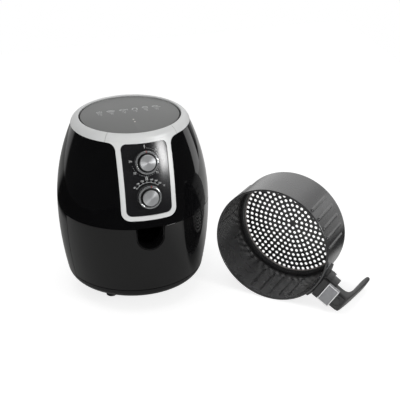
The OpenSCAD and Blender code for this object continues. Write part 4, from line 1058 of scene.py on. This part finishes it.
# The floor's edge, rolled where the wall grips it: a thin pale line of warm steel colour, a painted highlight
# along the bend.
edge_highlight_finish = mottled(
    "painted_highlight_edge", (260.0, 3.0), ((0.3, "#a39d9a"), (0.7, "#bdb6b2")), (0.4, 0.52), (0.1, 0.0001),
    {"Metallic": 0.6}
)
BEAD_AT, BEAD_R, BEAD_Z = 97.5, 1.3, SIEVE_Z + SHEET - 0.15
bead = arc(BEAD_AT, BEAD_Z, BEAD_R, 180, 0)
bead = [(bead[0][0], BEAD_Z - 0.35), *bead, (bead[-1][0], BEAD_Z - 0.35)]
piece("basket_floor_edge", shape(*turned(bead)), "basket", edge_highlight_finish, "nonstick", laid=lying)

# ---- Handle ----
# Screwed to a steel bracket that is riveted to the basket: a root block with a wing plate against the wall, a
# pistol grip, and in the grip's shoulder the release button under a clear cover that slides along the neck.

NECK_W, NECK_T, NECK_END, GRIP_DROP = 18.0, 20.0, 169.0, 115.0
BUTTON_W, BUTTON_Y0, BUTTON_Y1, BUTTON_T, PRESS = 14.6, 165.0, 148.6, 4.8, 4.0


def rounded_block(x0, x1, y0, y1, z0, z1, r=1.0, steps=3):
    """Points and faces of a block whose corners and edges are all rounded."""
    work = bmesh.new()
    bend = [pi / 2 * i / steps for i in range(steps + 1)]
    for kx, ky, kz in itertools.product((-1, 1), repeat=3):
        x, y, z = x1 - r if kx > 0 else x0 + r, y1 - r if ky > 0 else y0 + r, z1 - r if kz > 0 else z0 + r
        for u, v in itertools.product(bend, repeat=2):
            across = r * cos(v)
            work.verts.new((x + kx * across * cos(u), y + ky * across * sin(u), z + kz * r * sin(v)))
    bmesh.ops.convex_hull(work, input=work.verts)
    work.verts.index_update()
    points = [tuple(v.co) for v in work.verts]
    faces = [tuple(v.index for v in f.verts) for f in work.faces]
    work.free()
    return points, faces


# Glass-filled nylon, moulded with a spark-eroded satin: dark grey, its sheen broken by a 0.7 mm grain.
grip_nylon = mottled(
    "satin_grey_nylon", (50.0, 3.0), ((0.3, "#2f2f30"), (0.7, "#383838")), (0.38, 0.48), (0.2, 0.0002),
    {"IOR": 1.53}, (1400.0, 2.0)
)

# The two steps of the root: the wing plate that follows the wall, and the block with its lugs.
wing_turn = degrees(asin(38 / 113))
wing = [(RIM_R, -30), (RIM_R + 5, -30), (RIM_R + 5, -9), (RIM_R, -9)]
wing = turned(softened(wing, 1.0), -wing_turn, wing_turn, 32)
blocks = []
for side_of, (far, y0, y1) in itertools.product((-1, 1), ((22.5, -138, -109.5), (27, -124.5, -112.5))):
    blocks.append(rounded_block(*sorted((side_of * 18.6, side_of * far)), y0, y1, -30, -6, 0.9))
under = rounded_block(-19.5, 19.5, -138, -109.0, -30, -20.4, 0.9)
root = shape(*joined(wing, under, *blocks))
piece("handle_root", root, "basket", grip_nylon, "handle_plastic", ["handle_base"], sharp=40, **LAID)

# Sections along the grip: its inner and outer line in y and z, half its width, and how square it is.
stations = [
    ((-112, -NECK_T), (-112, 0), NECK_W, 9),
    ((-NECK_END + 23, -NECK_T), (-NECK_END + 20, 0), NECK_W, 9),
    ((-NECK_END + 14, -NECK_T - 1.5), (-NECK_END + 7, 0), NECK_W, 8),
    ((-NECK_END + 8, -NECK_T - 8), (-NECK_END + 0.8, -0.6), NECK_W - 0.3, 6),
    ((-NECK_END + 5, -NECK_T - 18), (-NECK_END - 3.4, -21), NECK_W - 1, 4.4),
    ((-NECK_END + 3.2, -NECK_T - 30), (-NECK_END - 6, -41), NECK_W - 2, 3.6),
    ((-NECK_END + 2, -0.6 * GRIP_DROP), (-NECK_END - 8.6, -0.58 * GRIP_DROP), NECK_W - 2.6, 3),
    ((-NECK_END + 0.6, -0.84 * GRIP_DROP), (-NECK_END - 10.8, -0.82 * GRIP_DROP), NECK_W - 3, 3),
    ((-NECK_END - 1, -0.94 * GRIP_DROP), (-NECK_END - 10.8, -0.93 * GRIP_DROP), NECK_W - 2.9, 3.4),
    ((-NECK_END - 2.4, -0.977 * GRIP_DROP), (-NECK_END - 9.8, -0.972 * GRIP_DROP), NECK_W - 4.8, 3.6),
]


def eased(values, at):
    """Smooth values between the stations, without overshoot."""
    values = np.array(values, float)
    step = np.diff(values)
    both, product = step[:-1] + step[1:], step[:-1] * step[1:]
    slope = np.concatenate([step[:1], np.where(product > 0, 2 * product / (both + 1e-12), 0), step[-1:]])
    out = []
    for t in at:
        i = min(int(t), len(step) - 1)
        u = t - i
        a, b = values[i], values[i + 1]
        out.append(a + u * u * (3 - 2 * u) * (b - a) + u * (1 - u) * ((1 - u) * slope[i] - u * slope[i + 1]))
    return np.array(out)


at = np.concatenate([np.linspace(0, 1, 4)[:-1], np.linspace(1, 9, 65)])
tracks = [eased(values, at) for values in zip(*[(*under, *over, *girth) for under, over, *girth in stations])]
verts, m = [], 72
for y0, z0, y1, z1, wide, square in zip(*tracks):
    for j in range(m):
        b = 2 * pi * (j + 0.5) / m
        u, v = [copysign(abs(f(b)) ** (2 / square), f(b)) for f in (cos, sin)]
        verts.append((wide * u, (y0 + y1) / 2 + (y1 - y0) / 2 * v, (z0 + z1) / 2 + (z1 - z0) / 2 * v))
POCKET_W, POCKET_GAP = BUTTON_W + 1.3, 0.6
pocket = rounded_block(
    -POCKET_W, POCKET_W, -BUTTON_Y0 - POCKET_GAP, -BUTTON_Y1 + POCKET_GAP, -PRESS - BUTTON_T - 0.3, 20, 0.7
)
pocket = shape(*pocket)
grip = cut(shape(verts, tube(len(at), m) + ends(len(at), m)), pocket)
piece("handle_grip", grip, "basket", grip_nylon, "handle_plastic", ["handle_body"], sharp=35, **LAID)

# The button: a plate of the same nylon, loose in its pocket, with a round groove that marks the place for the
# thumb and runs out under the cover.
block = shape(*rounded_block(-BUTTON_W, BUTTON_W, -BUTTON_Y0, -BUTTON_Y1, -BUTTON_T, 0.2, 0.7))
GROOVE_AT, GROOVE_R, GROOVE_W = -153.2, 9.3, 1.1
groove, groove_faces = turned(arc(GROOVE_R, 0.3, GROOVE_W, 0, 330, 11), steps=64)
groove = shape([(x, y + GROOVE_AT, z) for x, y, z in groove], groove_faces)
button = cut(block, groove)
piece("release_plate", button, "button", grip_nylon, "handle_plastic", ["release_button"], sharp=35, **LAID)

# Clear polycarbonate: the cover shows what is under it, greyed a little, and its moulded edges catch the
# light as a pale border.
clear = mottled(
    "clear_polycarbonate", (120.0, 2.0), ((0.3, "#a0a1a4"), (0.7, "#adaeb0")), (0.1, 0.22), (0.1, 0.0003),
    {"IOR": 1.585, "Transmission Weight": 0.45}
)

GUARD_IN, GUARD_OUT, GUARD_Y0, GUARD_Y1 = NECK_W + 0.35, NECK_W + 2.15, -149.0, -125.0
COVER_TOP, COVER_UNDER, HOOK_Z = 2.55, 0.35, -4.0
section = [(GUARD_OUT, COVER_TOP), (GUARD_OUT, HOOK_Z), (GUARD_IN, HOOK_Z), (GUARD_IN, COVER_UNDER)]
section = softened([(-x, z) for x, z in section[1::-1]] + section + [(-x, z) for x, z in section[:1:-1]], 0.6)
cover = prism(section, GUARD_Y0, GUARD_Y1)
piece("button_cover", cover, "guard", clear, "clear_plastic", ["button_guard"], sharp=40, **LAID)

# The same polycarbonate, near white: a border that stiffens the cover, its pale colour a painted highlight on
# the cover's edges.
border_highlight = mottled(
    "edge_highlight_polycarbonate", (900.0, 2.0), ((0.3, "#e9eaeb"), (0.7, "#f2f2f3")), (0.42, 0.55), (0.12, 0.0002),
    {"IOR": 1.585, "Transmission Weight": 0.2}
)
RAIL_W, RAIL_LOW, RAIL_HIGH = 1.5, 2.25, 2.8
span_x, span_y = (-GUARD_OUT, GUARD_OUT), (GUARD_Y0, GUARD_Y1)
rails = [(x, x + RAIL_W, *span_y) for x in (-GUARD_OUT, GUARD_OUT - RAIL_W)]
rails += [(span_x[0] + RAIL_W, span_x[1] - RAIL_W, y, y + RAIL_W) for y in (GUARD_Y0, GUARD_Y1 - RAIL_W)]
rails = [rounded_block(*rail, RAIL_LOW, RAIL_HIGH, 0.2, 2) for rail in rails]
border = shape(*joined(*rails))
piece("button_cover_border", border, "guard", border_highlight, "clear_plastic", sharp=40, **LAID)

# ---- Studio ----
# A white board under the object, and round it a dark room whose one bright wall the gloss mirrors, with four
# lamps. The lens sees plain white instead, with the object's shadow on the board.

CAMERA_AT = (-0.4106, -1.9319, 1.1371)
LOOK, RIGHT = Vector((0.2416, 0.8644, -0.4409)), Vector((0.9616, -0.2741, -0.0104))
optic = bpy.data.cameras.new("camera")
optic.lens, optic.sensor_width, optic.clip_start, optic.clip_end = 106.05, 36.0, 0.05, 30.0
camera = shown("camera", optic)
back = -LOOK.normalized()
right = (RIGHT - back * RIGHT.dot(back)).normalized()
stand = Matrix((right, back.cross(right), back)).transposed().to_4x4()
camera.matrix_world = Matrix.Translation(CAMERA_AT) @ stand
bpy.context.scene.camera = camera
bpy.context.scene.view_settings.view_transform = "Standard"

# The board: white to the lens with the object's faint shadow on it, and plain pale board to everything else.
# What the gloss mirrors of it carries painted shade, duller under the object, and goes dark away from it,
# where no light falls.
WHITE = (1.0, 1.0, 1.0, 1.0)
board, where = blank("pale_board")
fibre = add_node(board, "TexNoise", {"Vector": where, "Scale": 90.0, "Detail": 4.0})
tone = add_node(board, "ValToRGB", {"Fac": fibre}, ((0.3, "#e9e9e8"), (0.7, "#efefee")))
flat = add_node(board, "BsdfDiffuse", {"Color": tone})
glow = add_node(board, "Emission", {"Color": WHITE, "Strength": 0.75})
paper = add_node(board, "BsdfDiffuse", {"Color": linear("#b4b4b4")})
seen = add_node(board, "AddShader", {0: glow, 1: paper})
away = add_node(board, "VectorMath", {0: where, 1: (0.03, 0.0, 0.0)}, operation="DISTANCE")
edge = {"Value": away.outputs["Value"], "From Min": 0.42, "From Max": 0.47, "To Min": 0.0, "To Max": 0.97}
far = add_node(board, "MapRange", edge)
spot = add_node(board, "SeparateXYZ", {"Vector": where})
# Painted shade: as the gloss mirrors it, the board is darker up to X 0.15 m and pale past X 0.35 m.
side = add_node(board, "ValToRGB", {"Fac": spot.outputs["X"]}, ((0.15, "#b2b2b1"), (0.35, "#f6f6f5")))
shaded = add_node(board, "BsdfDiffuse", {"Color": side})
beyond = {0: spot.outputs["X"], 1: 0.5, 2: spot.outputs["Y"]}
beyond = add_node(board, "Math", beyond, operation="MULTIPLY_ADD")
rear = {"Value": beyond, "From Min": 0.32, "From Max": 0.45, "To Min": 1.0, "To Max": 0.0}
dark = add_node(board, "Math", {0: far, 1: add_node(board, "MapRange", rear)}, operation="MULTIPLY")
night = add_node(board, "Emission", {"Color": (0.0, 0.0, 0.0, 1.0), "Strength": 0.0})
dimmed = add_node(board, "MixShader", {0: dark, 1: shaded, 2: night})
ray = add_node(board, "LightPath").outputs
other = add_node(board, "MixShader", {0: ray["Is Glossy Ray"], 1: flat, 2: dimmed})
mix = add_node(board, "MixShader", {0: ray["Is Camera Ray"], 1: other, 2: seen})
add_node(board, "OutputMaterial", {"Surface": mix})
corners = [(-0.75, -0.95), (1.0, -0.95), (1.0, 1.4), (-0.75, 1.4)]
ground = bpy.data.meshes.new("ground")
ground.from_pydata([(x, y, -0.0005) for x, y in corners], [], [(0, 1, 2, 3)])
ground.materials.append(board)
floor = shown("ground", ground)

# The room: white to the lens and through clear plastic, an even grey to matt things, and to the gloss a dark
# room with a white wall behind and a little to the right, sharp at its ends, that fades down and to the left.
world = bpy.data.worlds.new("studio")
bpy.context.scene.world = world
world.use_nodes = True
world.node_tree.nodes.clear()
to = add_node(world, "TexCoord").outputs["Generated"]
axes = add_node(world, "SeparateXYZ", {"Vector": to}).outputs
slant = add_node(world, "Math", {0: axes["Z"], 1: 0.8, 2: axes["Y"]}, operation="MULTIPLY_ADD")
slant = add_node(world, "Math", {0: axes["X"], 1: -0.35, 2: slant}, operation="MULTIPLY_ADD")
behind = {"Value": slant, "From Min": 0.15, "From Max": 0.8, "To Min": 0.0, "To Max": 1.12}
behind = add_node(world, "MapRange", behind)
past = add_node(world, "VectorMath", {0: to, 1: (0.326, 0.946, 0.0)}, operation="DOT_PRODUCT")
opening = add_node(world, "MapRange", {"Value": past.outputs["Value"], "From Min": 0.44, "From Max": 0.52})
falling = {"Value": axes["X"], "From Min": -0.6, "From Max": 0.2, "To Min": 0.45, "To Max": 1.0}
falling = add_node(world, "MapRange", falling)
wall = add_node(world, "Math", {0: opening, 1: falling}, operation="MULTIPLY")
wall = add_node(world, "Math", {0: wall, 1: behind, 2: 0.03}, operation="MULTIPLY_ADD")
ray = add_node(world, "LightPath").outputs
white, room, fill = [
    add_node(world, "Background", {"Color": WHITE, "Strength": s}) for s in (1.0, wall, 0.45)
]
mix = add_node(world, "MixShader", {0: ray["Is Glossy Ray"], 1: fill, 2: room})
through = {0: ray["Is Camera Ray"], 1: ray["Is Transmission Ray"]}
through = add_node(world, "Math", through, operation="MAXIMUM")
mix = add_node(world, "MixShader", {0: through, 1: mix, 2: white})
add_node(world, "OutputWorld", {"Surface": mix})


def lamp(name, at, aim, width, height, power, mirrored=True):
    """An area lamp that faces a point."""
    light = bpy.data.lights.new(name, "AREA")
    light.shape, light.size, light.size_y, light.energy = "RECTANGLE", width, height, power
    thing = shown(name, light)
    thing.location = at
    thing.rotation_euler = (Vector(aim) - Vector(at)).to_track_quat("-Z", "Y").to_euler()
    thing.visible_glossy = mirrored


soft_turn, soft_away = radians(42), 2.2
softbox_at = (soft_away * sin(soft_turn), -soft_away * cos(soft_turn), 0.75)
lamp("softbox", softbox_at, (0, 0, 0.25), 0.55, 0.6, 15)
lamp("overhead", (-0.3, -0.3, 2.6), (0.1, 0, 0.1), 1.6, 1.6, 15, mirrored=False)
lamp("side_card", (1.5, 0.5, 0.22), (0, 0, 0.22), 0.55, 0.8, 1.5)
lamp("front_fill", (-0.9, -2.3, 0.6), (0, 0, 0.2), 1.4, 1.0, 23, mirrored=False)
